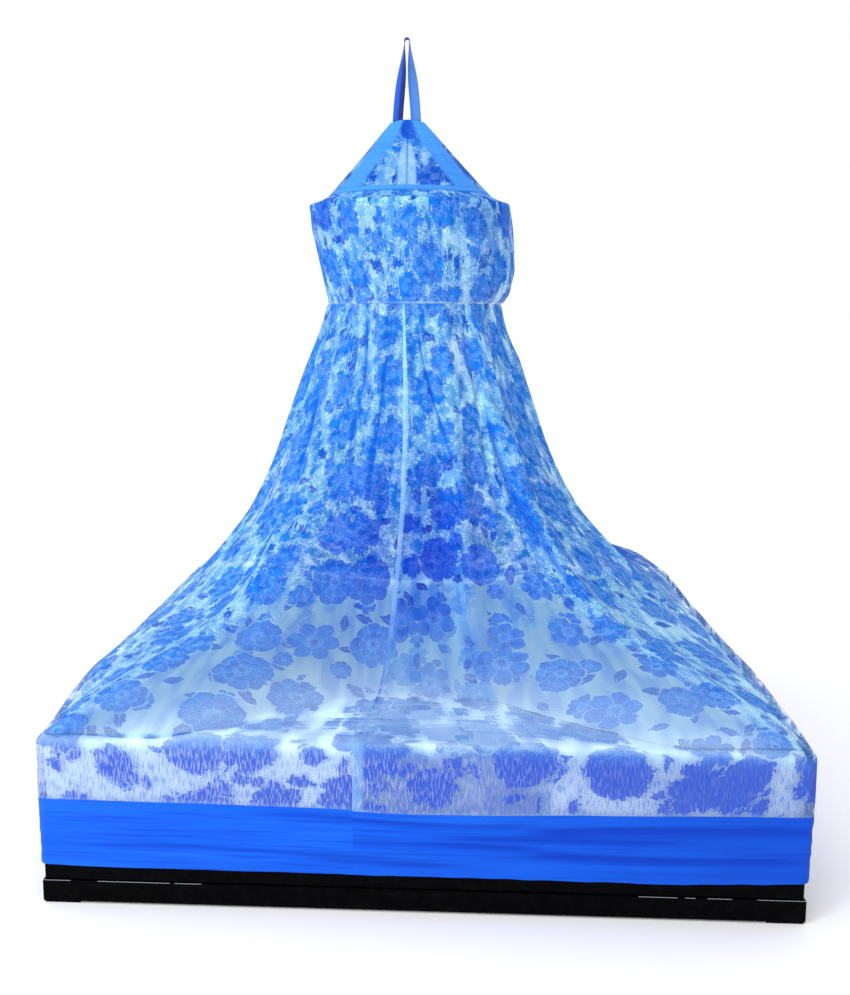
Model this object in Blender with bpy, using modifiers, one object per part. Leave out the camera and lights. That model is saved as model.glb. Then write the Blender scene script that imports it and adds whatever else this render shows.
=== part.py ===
"""Round mosquito net canopy hung over a double bed.

A tape loop carries a crown of solid and net gores. The crown ends in a solid band over
a wire hoop, a short valance hangs from the hoop, and a gathered skirt of net spreads
from the waist over the mattress and down its sides to a solid border. The skirt's two
front edges overlap as a way in.

Metres, +Z up. X runs to the right along the foot of the bed, Y runs from the foot
(-Y) to the head, and the origin is on the floor below the middle of the bed.
Azimuths are degrees round the canopy's axis: 0 at the foot, 90 at the right.
"""
import math

import bmesh
import bpy
import numpy as np


def table(columns, rows):
    """A table of sizes as one array for each named column."""
    return dict(zip(columns, np.array(rows).T))


# Bed
BED_WIDTH = 1.83
BED_LENGTH = 1.98
PLINTH_INSET = 0.007
FRAME_INSET = 0.012
PLINTH_TOP = 0.0585
FRAME_TOP = 0.190
MATTRESS_TOP = 0.4137
MATTRESS_ROUND = 0.022
FOOT_HEIGHT = 0.005
FOOT_SIDE = 0.085
FOOT_INSET = 0.011
GAP = 0.0003

# Cloth
CLOTH = 0.0015
SEAM = 0.0005
NET_REST = 0.0008
CORNER_ROUND = 0.022
EDGE_ROUND = 0.018
LANDING_ROOM = 0.012
SIDE_MIDDLE = 0.342
SEAM_HEIGHT = 0.2685
HEM_HEIGHT = 0.1015
BORDER_LEAN = 0.0035
LAYER_APART = 0.0035

# Canopy: its axis leans a little to the left toward the top
AXIS_X = -0.050
WAIST_X = -0.044
HOOP_X = -0.060
APEX_X = -0.067
WAIST_HEIGHT = 1.439
HOOP_HEIGHT = 1.7225
HOOP_RADIUS = 0.2925
HOOP_WIRE = 0.0035
HOOP_CLEARANCE = 0.0009
HOOP_COLUMNS = 60
HOOP_SIDES = 6
BAND_RADIUS = 0.2405
BAND_HEIGHT = 1.7515
BAND_WIDTH = 0.020
APEX_HEIGHT = 1.966
APEX_HALF_LENGTH = 0.049
APEX_HALF_DEPTH = 0.0026

# Tape
TAPE_WIDTH = 0.030
TAPE_THICK = 0.002
TAPE_TOP = 2.203
TAPE_FOLD = 0.0075
TAPE_SPREAD = 0.0265
TAPE_LEAN = -0.002
TAPE_TUCK = 0.012
TAPE_STRAIGHT = 0.08

# How the cloth is divided
SINGLE_COLUMNS = 94
OVERLAP_COLUMNS = 5
CORNER_COLUMN = 1.9
CROWN_COLUMN = 6.0
CROWN_ROWS = 5
TAPE_ROWS = 7

# How the cloth falls
FACING_POWER = 4
CORNER_SPREAD = 17.0
OPENING_FADE = 25.0
LAYER_FADE = 16.0
FOLD_STAGES = (0.0, 0.05, 0.55, 1.0)
FOLD_NARROWING = 0.25
FOLD_RISE = 0.6
LAYER_RISE = 0.8
LYING_RIPPLE = 0.35

# The skirt's sections: the distance from the axis to the cloth toward the foot, a side,
# the head, a front corner and a back corner of the bed, one row for each height.
SKIRT = table(("height", "foot", "side", "head", "front_corner", "back_corner"), (
    (1.4387, 0.257, 0.257, 0.257, 0.257, 0.257),
    (1.4300, 0.257, 0.258, 0.257, 0.258, 0.258),
    (1.3400, 0.272, 0.276, 0.274, 0.281, 0.281),
    (1.2400, 0.296, 0.312, 0.300, 0.322, 0.322),
    (1.1300, 0.324, 0.350, 0.331, 0.362, 0.362),
    (1.0200, 0.355, 0.387, 0.366, 0.406, 0.406),
    (0.9100, 0.389, 0.434, 0.403, 0.465, 0.466),
    (0.8100, 0.422, 0.490, 0.440, 0.543, 0.548),
    (0.7200, 0.453, 0.565, 0.477, 0.630, 0.645),
    (0.6400, 0.484, 0.640, 0.514, 0.728, 0.790),
    (0.5700, 0.516, 0.715, 0.553, 0.865, 0.985),
    (0.5100, 0.550, 0.780, 0.596, 1.080, 1.165),
    (0.4600, 0.585, 0.835, 0.644, 1.240, 1.265),
    (0.4149, 0.625, 0.880, 0.720, 1.345, 1.345),
))

# The skirt's main folds: where each crest runs, its half width, and how far it stands
# out at the waist, half way down and where the cloth meets the mattress.
FOLDS = table(("azimuth", "half_width", "at_waist", "half_way", "at_mattress"), (
    (-58.0, 5.5, 0.009, 0.020, 0.010),
    (-39.0, 5.5, 0.011, 0.030, 0.014),
    (-17.0, 5.5, 0.010, 0.028, 0.012),
    (-2.0, 3.5, 0.006, 0.012, 0.005),
    (20.0, 5.5, 0.010, 0.027, 0.012),
    (42.0, 5.5, 0.010, 0.027, 0.014),
    (60.0, 5.0, 0.007, 0.016, 0.008),
    (79.0, 5.5, 0.010, 0.024, 0.011),
    (99.0, 5.0, 0.008, 0.019, 0.008),
    (119.0, 6.5, 0.011, 0.027, 0.012),
    (138.0, 5.0, 0.008, 0.022, 0.010),
    (157.0, 6.0, 0.010, 0.026, 0.010),
    (176.0, 4.5, 0.007, 0.017, 0.007),
    (194.0, 6.0, 0.011, 0.028, 0.012),
    (217.0, 5.5, 0.009, 0.022, 0.011),
    (236.0, 5.0, 0.010, 0.024, 0.009),
    (256.0, 6.5, 0.009, 0.021, 0.012),
    (279.0, 5.5, 0.010, 0.026, 0.010),
))

# The front opening: azimuths of the skirt's outer and inner edges, the lowest row first.
OPENING = table(("height", "outer_edge", "inner_edge"), (
    (0.4149, -6.0, 20.0),
    (0.8000, -3.0, 18.0),
    (1.4387, -7.0, 4.0),
))

# Along the foot of the bed the net puffs up over the mattress's edge, and its seam and
# hem droop, one row for each place.
FOOT_LINE = table(("x", "puff", "seam_droop", "hem_droop"), (
    (-0.915, 0.000, 0.000, 0.000),
    (-0.760, 0.012, 0.000, 0.002),
    (-0.580, 0.018, 0.001, 0.004),
    (-0.350, 0.008, 0.005, 0.005),
    (0.000, 0.000, 0.014, 0.007),
    (0.310, 0.000, 0.010, 0.006),
    (0.620, 0.002, 0.004, 0.007),
    (0.915, 0.000, 0.000, -0.003),
))

# That table holds for the foot of the bed only: it fades over this depth round a corner.
FOOT_FADE = (0.02, 0.12)

# How high the taut cloth stays above the mattress's edge, by azimuth round the bed.
EDGE_LIFT = table(("azimuth", "height"), (
    (-139.0, 0.000),
    (-134.0, 0.022),
    (-118.0, 0.026),
    (-98.0, 0.026),
    (-80.0, 0.032),
    (-66.0, 0.038),
    (-56.0, 0.044),
    (-50.0, 0.030),
    (-45.0, 0.008),
    (-41.0, 0.000),
    (44.0, 0.000),
    (50.0, 0.022),
    (58.0, 0.024),
    (68.0, 0.028),
    (81.0, 0.018),
    (98.0, 0.008),
    (115.0, 0.000),
))

# Slow waves of the cloth on the bed's sides: how many go round, how deep, where from.
SIDE_WAVES = table(("count", "depth", "start"), (
    (11, 0.0016, 0.6),
    (23, 0.0012, 2.1),
))

# The valance's distance from the axis at the left and at the right, and the share of
# its folds, one row for each height.
VALANCE = table(("height", "left", "right", "folds"), (
    (1.6500, 0.291, 0.300, 0.7),
    (1.5700, 0.277, 0.302, 1.0),
    (1.5000, 0.265, 0.293, 0.9),
    (1.4550, 0.257, 0.275, 0.4),
    (1.4396, 0.2545, 0.2595, 0.0),
))
VALANCE_FOLDS = table(("azimuth", "half_width", "stands_out"), (
    (-68.0, 9.0, 0.009),
    (-30.0, 8.0, 0.006),
    (4.0, 8.0, 0.010),
    (41.0, 9.0, 0.007),
    (72.0, 8.0, 0.008),
    (110.0, 10.0, 0.010),
    (150.0, 8.0, 0.007),
    (184.0, 10.0, 0.010),
    (222.0, 8.0, 0.007),
    (257.0, 9.0, 0.009),
))

# The valance's upper rows, tucked under the crown's band: outward and down from its foot.
VALANCE_TUCK = ((0.0006, 0.0007), (0.0040, 0.0045))

# The crown's seams: azimuths at the apex and at the band, and how far the seam is
# hollowed half way down.
INNER_SEAM = (3.0, 36.0, -8.0)
OUTER_SEAM = (75.0, 61.0, 8.0)

# A section of the crown is squared at the apex and round from this share of the way down.
ROUND_FROM = 0.33


def clear_scene():
    for old in list(bpy.data.objects):
        bpy.data.objects.remove(old, do_unlink=True)


def make_material(name, colour, roughness):
    material = bpy.data.materials.new(name)
    material.use_nodes = True
    shader = material.node_tree.nodes["Principled BSDF"]
    shader.inputs["Base Color"].default_value = (*colour, 1.0)
    shader.inputs["Roughness"].default_value = roughness
    return material


def add_object(name, mesh, material):
    mesh.materials.append(material)
    piece = bpy.data.objects.new(name, mesh)
    parts.objects.link(piece)
    return piece


def make_sheet(name, grid, thickness, material, closed=False):
    """Cloth from a grid of points, rows from the top down and columns to the right."""
    rows, columns, _ = grid.shape
    faces = []
    for row in range(rows - 1):
        for step in range(columns if closed else columns - 1):
            top_left = row * columns + step
            top_right = row * columns + (step + 1) % columns
            low_left = top_left + columns
            low_right = top_right + columns
            faces.append((top_left, low_left, low_right))
            faces.append((top_left, low_right, top_right))
    mesh = bpy.data.meshes.new(name)
    mesh.from_pydata(grid.reshape(-1, 3).tolist(), [], faces)
    mesh.shade_smooth()
    shell = add_object(name, mesh, material).modifiers.new("cloth", "SOLIDIFY")
    shell.thickness = thickness
    shell.offset = 0.0


def make_box(name, low, high, material, bevel=0.0, segments=2):
    shape = bmesh.new()
    bmesh.ops.create_cube(shape, size=1.0)
    size = [high[axis] - low[axis] for axis in range(3)]
    bmesh.ops.scale(shape, vec=size, verts=shape.verts)
    mesh = bpy.data.meshes.new(name)
    shape.to_mesh(mesh)
    shape.free()
    piece = add_object(name, mesh, material)
    piece.location = [(high[axis] + low[axis]) / 2 for axis in range(3)]
    if bevel:
        edge = piece.modifiers.new("edges", "BEVEL")
        edge.width = bevel
        edge.segments = segments
        edge.limit_method = "ANGLE"


def bump(azimuth, centre, half_width):
    """A smooth crest, 1 at its centre, for azimuths that wrap round."""
    away = (azimuth - centre + 180.0) % 360.0 - 180.0
    return np.exp(-((away / half_width) ** 2))


def place(radius, azimuth, axis_x):
    """X and Y of a point at a distance and an azimuth from the axis."""
    turn = np.radians(azimuth)
    return axis_x + radius * np.sin(turn), -radius * np.cos(turn)


# Bed

def make_bed(lacquer, ticking):
    half_width, half_length = BED_WIDTH / 2, BED_LENGTH / 2

    def layer(name, inset, low, high, material, bevel, segments=2):
        wide, long = half_width - inset, half_length - inset
        make_box(name, (-wide, -long, low), (wide, long, high), material, bevel, segments)

    layer("bed_plinth", PLINTH_INSET, FOOT_HEIGHT, PLINTH_TOP, lacquer, 0.002)
    layer("bed_frame", FRAME_INSET, PLINTH_TOP + GAP, FRAME_TOP, lacquer, 0.003)
    layer("mattress", FRAME_INSET, FRAME_TOP + GAP, MATTRESS_TOP, ticking,
          MATTRESS_ROUND, segments=4)
    half = FOOT_SIDE / 2
    for end, along in (("front", -1), ("back", 1)):
        for hand, across in (("left", -1), ("right", 1)):
            x = across * (half_width - FOOT_INSET - half)
            y = along * (half_length - FOOT_INSET - half)
            make_box(f"foot_{end}_{hand}", (x - half, y - half, 0.0),
                     (x + half, y + half, FOOT_HEIGHT - GAP), lacquer)


# Skirt

def reach_to_edge(azimuth):
    """Distance from the axis to the rounded rectangle that the skirt hangs over."""
    turn = math.radians(azimuth)
    along = np.array([math.sin(turn), -math.cos(turn)])
    half = np.array([BED_WIDTH / 2, BED_LENGTH / 2])
    start = np.array([AXIS_X, 0.0])
    tiny = 1e-9
    wall = (np.sign(along) * half - start) / np.where(np.abs(along) < tiny, tiny, along)
    straight = wall.min()
    point = start + straight * along
    centre = np.sign(point) * (half - CORNER_ROUND)
    if np.all(np.abs(point) > np.abs(centre)):
        toward = start - centre
        middle = along @ toward
        root = middle ** 2 - toward @ toward + CORNER_ROUND ** 2
        return -middle + math.sqrt(max(root, 0.0))
    return straight


def corner_azimuths():
    """Azimuths of the bed's corners: front right, back right, back left, front left."""
    half_length = BED_LENGTH / 2
    right = math.degrees(math.atan2(BED_WIDTH / 2 - AXIS_X, half_length))
    left = math.degrees(math.atan2(BED_WIDTH / 2 + AXIS_X, half_length))
    return right, 180.0 - right, 180.0 + left, 360.0 - left


def section_radius(azimuth, row):
    """The skirt's distance from the axis in one of its sections, without folds."""
    size = {name: values[row] for name, values in SKIRT.items()}
    turn = math.radians(azimuth)
    foot = max(math.cos(turn), 0.0) ** FACING_POWER
    head = max(-math.cos(turn), 0.0) ** FACING_POWER
    side = abs(math.sin(turn)) ** FACING_POWER
    plain = foot * size["foot"] + head * size["head"] + side * size["side"]
    plain /= foot + head + side
    near = [bump(azimuth, corner, CORNER_SPREAD) for corner in corner_azimuths()]
    front, back = max(near[0], near[3]), max(near[1], near[2])
    corners = front * size["front_corner"] + back * size["back_corner"]
    return plain * (1 - front - back) + corners


def landing(azimuth):
    """Where the falling cloth meets the mattress, nearest to its edge at the sides."""
    reach = reach_to_edge(azimuth) - EDGE_ROUND - LANDING_ROOM
    side = abs(math.sin(math.radians(azimuth))) ** FACING_POWER
    plain = min(section_radius(azimuth, -1), reach)
    return plain + (reach - plain) * side


def skirt_azimuths():
    """The skirt's columns from its inner front edge, to the left all the way round."""
    outer, inner = OPENING["outer_edge"][0], OPENING["inner_edge"][0]
    single = np.linspace(outer, inner - 360.0, SINGLE_COLUMNS + 1)
    for corner in corner_azimuths():
        nearest = np.sort(np.argsort(np.abs(single - (corner - 360.0)))[:3])
        single[nearest] = corner - 360.0 + np.array([CORNER_COLUMN, 0.0, -CORNER_COLUMN])
    lap = np.linspace(inner, outer, OVERLAP_COLUMNS + 1)
    return np.concatenate([lap[:-1], single, lap[1:] - 360.0])


def shifted(azimuths, height):
    """The columns at a height: near the opening they follow its wandering edges."""
    outer = np.interp(height, OPENING["height"], OPENING["outer_edge"])
    inner = np.interp(height, OPENING["height"], OPENING["inner_edge"])
    single = azimuths[OVERLAP_COLUMNS:len(azimuths) - OVERLAP_COLUMNS]
    from_outer = np.exp(-(((single - single[0]) / OPENING_FADE) ** 2))
    from_inner = np.exp(-(((single - single[-1]) / OPENING_FADE) ** 2))
    single = (single + (outer - single[0]) * from_outer
              + (inner - 360.0 - single[-1]) * from_inner)
    lap = np.linspace(inner, outer, OVERLAP_COLUMNS + 1)
    return np.concatenate([lap[:-1], single, lap[1:] - 360.0])


def layer_offsets(azimuths):
    """How far each column stands out, so that the two edges lie one over the other."""
    first, last = azimuths[OVERLAP_COLUMNS], azimuths[-1 - OVERLAP_COLUMNS]
    inner = 1.0 - np.clip((first - azimuths) / LAYER_FADE, 0.0, 1.0)
    outer = 1.0 - np.clip((azimuths - last) / LAYER_FADE, 0.0, 1.0)
    return LAYER_APART * (outer - inner)


def fold_height(azimuth, share):
    """How far the folds stand out, at a share of the way down the free cloth."""
    stages = zip(FOLDS["at_waist"], FOLDS["half_way"], FOLDS["at_mattress"])
    heights = [np.interp(share, FOLD_STAGES, (waist / 2, waist, middle, low))
               for waist, middle, low in stages]
    widths = FOLDS["half_width"] * (1.0 - FOLD_NARROWING * share)
    return float(np.sum(heights * bump(azimuth, FOLDS["azimuth"], widths)))


def foot_line(name, x, y):
    """A value of the foot's table, fading away round the bed's corners."""
    inside = y + BED_LENGTH / 2
    near_foot = np.interp(inside, FOOT_FADE, (1.0, 0.0))
    return near_foot * np.interp(x, FOOT_LINE["x"], FOOT_LINE[name])


def edge_lift(azimuth):
    turned = (azimuth + 180.0) % 360.0 - 180.0
    return float(np.interp(turned, EDGE_LIFT["azimuth"], EDGE_LIFT["height"]))


def side_wave(azimuth):
    turns = SIDE_WAVES["count"] * math.radians(azimuth) + SIDE_WAVES["start"]
    return float(np.sum(SIDE_WAVES["depth"] * np.sin(turns)))


def side_point(azimuth, layer, inset, height, wave=1.0):
    """A point on the hanging sides, inset from the bed's outline."""
    radius = reach_to_edge(azimuth) - inset + layer + wave * side_wave(azimuth)
    return (*place(radius, azimuth, AXIS_X), height)


def falling_points(azimuths, layer, rest):
    """A column's points from the waist down to where it meets the mattress."""
    points = []
    top, low = SKIRT["height"][0], SKIRT["height"][-1]
    for row, (azimuth, height) in enumerate(zip(azimuths, SKIRT["height"])):
        share = (top - height) / (top - low)
        radius = section_radius(azimuth, row)
        radius += (landing(azimuth) - section_radius(azimuth, -1)) * share ** 3
        out = fold_height(azimuth, share) if 0 < share < 1 else 0.0
        rise = FOLD_RISE * share ** 3
        axis_x = WAIST_X + (AXIS_X - WAIST_X) * share
        x, y = place(radius + layer + out * (1 - rise), azimuth, axis_x)
        z = height + rise * out + layer * LAYER_RISE * share + edge_lift(azimuth) * share ** 4
        points.append((x, y, max(z, rest)))
    return points


def hanging_points(azimuth, layer, rest):
    """A column's points over the mattress's edge and down to the border's seam."""
    points = []
    start = landing(azimuth)
    edge = reach_to_edge(azimuth) - EDGE_ROUND
    lift = edge_lift(azimuth)
    puff = foot_line("puff", *place(edge, azimuth, AXIS_X)) + lift
    for share in (0.5, 1.0):
        x, y = place(start + (edge - start) * share, azimuth, AXIS_X)
        ripple = fold_height(azimuth, 1.0) * LYING_RIPPLE * (1 - share)
        foot_puff = foot_line("puff", x, y) * (1 + share) / 2
        points.append((x, y, rest + ripple + foot_puff + lift))
    turned = EDGE_ROUND * (1 - math.sqrt(0.5))
    points.append(side_point(azimuth, layer, turned, rest - turned + puff * 0.85))
    points.append(side_point(azimuth, layer, 0.0, rest - EDGE_ROUND + puff * 0.4))
    points.append(side_point(azimuth, layer, 0.0, SIDE_MIDDLE))
    x, y, z = side_point(azimuth, layer, 0.0, SEAM_HEIGHT + SEAM / 2)
    points.append((x, y, z - foot_line("seam_droop", x, y)))
    return points


def make_skirt(material):
    bottom = skirt_azimuths()
    by_height = np.array([shifted(bottom, height) for height in SKIRT["height"]])
    columns = []
    for azimuths, layer in zip(by_height.T, layer_offsets(bottom)):
        rest = MATTRESS_TOP + NET_REST + CLOTH / 2 + 2 * max(layer, 0.0)
        columns.append(falling_points(azimuths, layer, rest)
                       + hanging_points(azimuths[-1], layer, rest))
    make_sheet("skirt_net", np.array(columns).transpose(1, 0, 2), CLOTH, material)


def make_border(material):
    """A closed band of solid cloth sewn under the skirt, leaning in a little."""
    ring = slice(OVERLAP_COLUMNS, -1)
    azimuths, layers = skirt_azimuths(), layer_offsets(skirt_azimuths())
    top = SEAM_HEIGHT - SEAM / 2
    rows = []
    for share in (0.0, 0.45, 1.0):
        row = []
        for azimuth, layer in zip(azimuths[ring], layers[ring]):
            x, y, z = side_point(azimuth, layer * (1 - share), BORDER_LEAN * share,
                                 top + (HEM_HEIGHT - top) * share, wave=1 - share)
            droop = foot_line("seam_droop", x, y) * (1 - share)
            droop += foot_line("hem_droop", x, y) * share
            row.append((x, y, z - droop))
        rows.append(row)
    make_sheet("skirt_border", np.array(rows), CLOTH, material, closed=True)


# Valance and hoop

def ring_azimuths():
    return np.arange(0.0, -360.0, -CROWN_COLUMN)


def ring_row(radius, height, axis_x):
    azimuths = ring_azimuths()
    x, y = place(radius, azimuths, axis_x)
    return np.stack([x, y, np.full(len(azimuths), height)], axis=1)


def make_valance(material):
    """Net from the band, over the hoop and down to the waist."""
    azimuths = ring_azimuths()
    rows = [ring_row(BAND_RADIUS + out, BAND_HEIGHT - down, HOOP_X)
            for out, down in VALANCE_TUCK]
    around = HOOP_WIRE + CLOTH / 2 + HOOP_CLEARANCE
    for turn in np.radians((90.0, 45.0, 0.0)):
        rows.append(ring_row(HOOP_RADIUS + around * math.cos(turn),
                             HOOP_HEIGHT + around * math.sin(turn), HOOP_X))
    folds = sum(out * bump(azimuths, centre, width)
                for centre, width, out in zip(*VALANCE_FOLDS.values()))
    across = np.sin(np.radians(azimuths))
    for height, left, right, share in zip(*VALANCE.values()):
        radius = (left + right) / 2 + (right - left) / 2 * across + folds * share
        down = (HOOP_HEIGHT - height) / (HOOP_HEIGHT - WAIST_HEIGHT)
        rows.append(ring_row(radius, height, HOOP_X + (WAIST_X - HOOP_X) * down))
    make_sheet("valance_net", np.array(rows), CLOTH, material, closed=True)


def make_hoop(material):
    bpy.ops.mesh.primitive_torus_add(
        major_radius=HOOP_RADIUS, minor_radius=HOOP_WIRE, major_segments=HOOP_COLUMNS,
        minor_segments=HOOP_SIDES, location=(HOOP_X, 0.0, HOOP_HEIGHT))
    hoop = bpy.context.object
    hoop.name = "hoop"
    hoop.data.materials.append(material)


# Crown

def crown_point(azimuth, share):
    """The crown's surface, from its flat closed top, share 0, to the band's foot, 1."""
    turn = math.radians(azimuth)
    roundness = np.interp(share, (0.0, ROUND_FROM), (0.5, 1.0))
    across = math.copysign(abs(math.sin(turn)) ** roundness, math.sin(turn))
    along = math.copysign(abs(math.cos(turn)) ** roundness, -math.cos(turn))
    half_length = APEX_HALF_LENGTH + (BAND_RADIUS - APEX_HALF_LENGTH) * share
    half_depth = APEX_HALF_DEPTH + (BAND_RADIUS - APEX_HALF_DEPTH) * share
    x = APEX_X + (HOOP_X - APEX_X) * share + half_length * across
    return np.array((x, half_depth * along,
                     APEX_HEIGHT + (BAND_HEIGHT - APEX_HEIGHT) * share))


def crown_slant():
    return math.hypot(APEX_HEIGHT - BAND_HEIGHT, BAND_RADIUS - APEX_HALF_LENGTH)


def make_gore(name, left_seam, right_seam, material):
    """A gore between two seams, with half of a seam's gap free along each side."""
    low = 1.0 - (BAND_WIDTH + SEAM) / crown_slant()
    widest = max(right_seam[end] - left_seam[end] for end in (0, 1))
    pieces = round(widest / CROWN_COLUMN)
    rows = []
    for share in np.linspace(0.0, 1.0, CROWN_ROWS + 1):
        left, right = (top + (base - top) * share - hollow * 4 * share * (1 - share)
                       for top, base, hollow in (left_seam, right_seam))
        row = [crown_point(azimuth, share * low)
               for azimuth in np.linspace(right, left, pieces + 1)]
        for end, beside in ((0, 1), (-1, -2)):
            inward = row[beside] - row[end]
            row[end] = row[end] + inward / np.linalg.norm(inward) * SEAM / 2
        rows.append(row)
    make_sheet(name, np.array(rows), CLOTH, material)


def seam(sizes, side, back=False, turns=0):
    """A seam of the front right quarter, carried to another quarter of the crown."""
    top, base, hollow = sizes
    if back:
        top, base, hollow = 180.0 - top, 180.0 - base, -hollow
    return side * top + 360.0 * turns, side * base + 360.0 * turns, side * hollow


def make_crown(net, solid):
    """Four solid gores from the tape to the band, with net between them."""
    inner, outer = INNER_SEAM, OUTER_SEAM
    make_gore("crown_cloth_front_right", seam(inner, 1), seam(outer, 1), solid)
    make_gore("crown_cloth_front_left", seam(outer, -1), seam(inner, -1), solid)
    make_gore("crown_cloth_back_right", seam(outer, 1, True), seam(inner, 1, True), solid)
    make_gore("crown_cloth_back_left", seam(inner, -1, True), seam(outer, -1, True), solid)
    make_gore("crown_net_front", seam(inner, -1), seam(inner, 1), net)
    make_gore("crown_net_right", seam(outer, 1), seam(outer, 1, True), net)
    make_gore("crown_net_left", seam(outer, -1, True), seam(outer, -1), net)
    make_gore("crown_net_back", seam(inner, 1, True), seam(inner, -1, True, turns=1), net)


def make_band(material):
    """The solid band round the foot of the crown."""
    rows = [[crown_point(azimuth, share) for azimuth in ring_azimuths()]
            for share in (1.0 - BAND_WIDTH / crown_slant(), 1.0)]
    make_sheet("crown_band", np.array(rows), CLOTH, material, closed=True)


# Tape

def make_tape(material):
    """One tape, up from the crown's top edge, over and down again, each leg turning a
    quarter so that the tape folds flat over what it hangs from."""
    start = APEX_HEIGHT - TAPE_TUCK
    fold = TAPE_TOP - TAPE_FOLD
    shares = np.linspace(0.0, 1.0, TAPE_ROWS)[:-1]
    turned = np.maximum(shares - TAPE_STRAIGHT, 0.0) / (1.0 - TAPE_STRAIGHT)
    spread = TAPE_SPREAD + (TAPE_FOLD - TAPE_SPREAD) * turned
    height = start + (fold - start) * shares
    arc = np.linspace(math.pi, 0.0, TAPE_ROWS)
    quarter = math.pi / 2
    across = np.concatenate([-spread, TAPE_FOLD * np.cos(arc), spread[::-1]])
    up = np.concatenate([height, fold + TAPE_FOLD * np.sin(arc), height[::-1]])
    turn = np.concatenate([quarter * turned, np.full(TAPE_ROWS, quarter),
                           2 * quarter - quarter * turned[::-1]])
    edges = []
    for half in (TAPE_WIDTH / 2, 0.0, -TAPE_WIDTH / 2):
        x = APEX_X + TAPE_LEAN + across + half * np.cos(turn)
        edges.append(np.stack([x, -half * np.sin(turn), up], axis=1))
    make_sheet("hanging_tape", np.stack(edges, axis=1), TAPE_THICK, material)


clear_scene()
parts = bpy.data.collections.new("mosquito_net_canopy")
bpy.context.scene.collection.children.link(parts)
bpy.context.view_layer.active_layer_collection = (
    bpy.context.view_layer.layer_collection.children[parts.name])

printed_net = make_material("printed net", (0.22, 0.50, 0.95), 0.75)
solid_blue = make_material("solid blue cloth", (0.03, 0.18, 0.85), 0.70)
black_lacquer = make_material("black lacquer", (0.01, 0.01, 0.012), 0.25)
pale_ticking = make_material("pale ticking", (0.72, 0.76, 0.92), 0.85)
coated_wire = make_material("coated wire", (0.85, 0.87, 0.90), 0.40)

make_bed(black_lacquer, pale_ticking)
make_skirt(printed_net)
make_border(solid_blue)
make_valance(printed_net)
make_hoop(coated_wire)
make_band(solid_blue)
make_crown(printed_net, solid_blue)
make_tape(solid_blue)
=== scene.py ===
import math

import bpy
import numpy as np
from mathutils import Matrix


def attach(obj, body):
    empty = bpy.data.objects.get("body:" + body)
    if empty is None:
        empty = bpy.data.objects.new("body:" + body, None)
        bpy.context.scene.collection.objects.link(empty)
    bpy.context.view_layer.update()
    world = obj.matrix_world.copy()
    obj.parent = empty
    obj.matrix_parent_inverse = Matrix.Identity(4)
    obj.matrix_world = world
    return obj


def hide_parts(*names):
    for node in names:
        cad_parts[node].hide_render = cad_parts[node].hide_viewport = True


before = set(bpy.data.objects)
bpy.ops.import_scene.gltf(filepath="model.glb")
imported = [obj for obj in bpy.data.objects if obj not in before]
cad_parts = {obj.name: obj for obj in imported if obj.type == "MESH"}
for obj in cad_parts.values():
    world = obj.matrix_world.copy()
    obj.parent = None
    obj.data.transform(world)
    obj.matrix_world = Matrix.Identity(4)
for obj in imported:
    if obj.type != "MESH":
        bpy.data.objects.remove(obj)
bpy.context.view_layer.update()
print("frame loaded:", len(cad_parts), "nodes")

# Metres, azimuths in degrees round the canopy's axis: 0 at the foot of the bed, 90 at the right.
bed = {
    "width": 1.83, "length": 1.98,
    "mattressTop": 0.4137, "mattressLow": 0.1903, "mattressInset": 0.012,
    "cornerRound": 0.022,  # of the cloth's outline, seen from above
    "edgeRound": 0.018,    # of the cloth over the mattress's edge
}
canopy = {"axisX": -0.050, "waistX": -0.044, "hoopX": -0.060, "apexX": -0.067}


def bell(away, width):
    # 1 in the middle and falling smoothly to 0 on both sides
    return np.exp(-(away / width) ** 2)


def ramp(value, start, end):
    # 0 before start, 1 after end, with a smooth rise between them
    t = np.clip((value - start) / (end - start), 0.0, 1.0)
    return t * t * (3.0 - 2.0 * t)


def fall(value, start, end):
    # 1 before start and 0 after end
    return 1 - ramp(value, start, end)


def turnFrom(azimuth, centre):
    # the azimuth measured from a centre, from -180 to 180
    return (azimuth - centre + 180.0) % 360.0 - 180.0


def smoothCurve(at, knots, values):
    # a cubic between the table's values, with each knot's slope taken from its neighbours
    knots, values = np.asarray(knots, float), np.asarray(values, float)
    if knots[0] > knots[-1]:
        knots, values = knots[::-1], values[::-1]
    slope = np.gradient(values, knots)
    at = np.clip(at, knots[0], knots[-1])
    low = np.clip(np.searchsorted(knots, at, side="right") - 1, 0, len(knots) - 2)
    width = knots[low + 1] - knots[low]
    t = (at - knots[low]) / width
    return (values[low] * (1 + 2 * t) * (1 - t) ** 2 + width * slope[low] * t * (1 - t) ** 2
            + values[low + 1] * t * t * (3 - 2 * t) + width * slope[low + 1] * t * t * (t - 1))


def softNoise(x, y, seed, cells=64):
    # random heights from -1 to 1 at whole numbers, blended between them; repeats after so many cells of x
    heights = np.random.default_rng(seed).uniform(-1.0, 1.0, (cells, 64))
    x, y = np.broadcast_arrays(x, y)
    left, low = np.floor(x).astype(int), np.floor(y).astype(int)
    tx, ty = x - left, y - low
    tx, ty = tx * tx * (3 - 2 * tx), ty * ty * (3 - 2 * ty)
    right, high = (left + 1) % cells, (low + 1) % 64
    left, low = left % cells, low % 64
    return ((heights[left, low] * (1 - tx) + heights[right, low] * tx) * (1 - ty)
            + (heights[left, high] * (1 - tx) + heights[right, high] * tx) * ty)


def around(radius, azimuth, axisX):
    # a point at a distance and an azimuth from the axis, seen from above
    turn = np.radians(azimuth)
    return axisX + radius * np.sin(turn), -radius * np.cos(turn)


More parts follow.
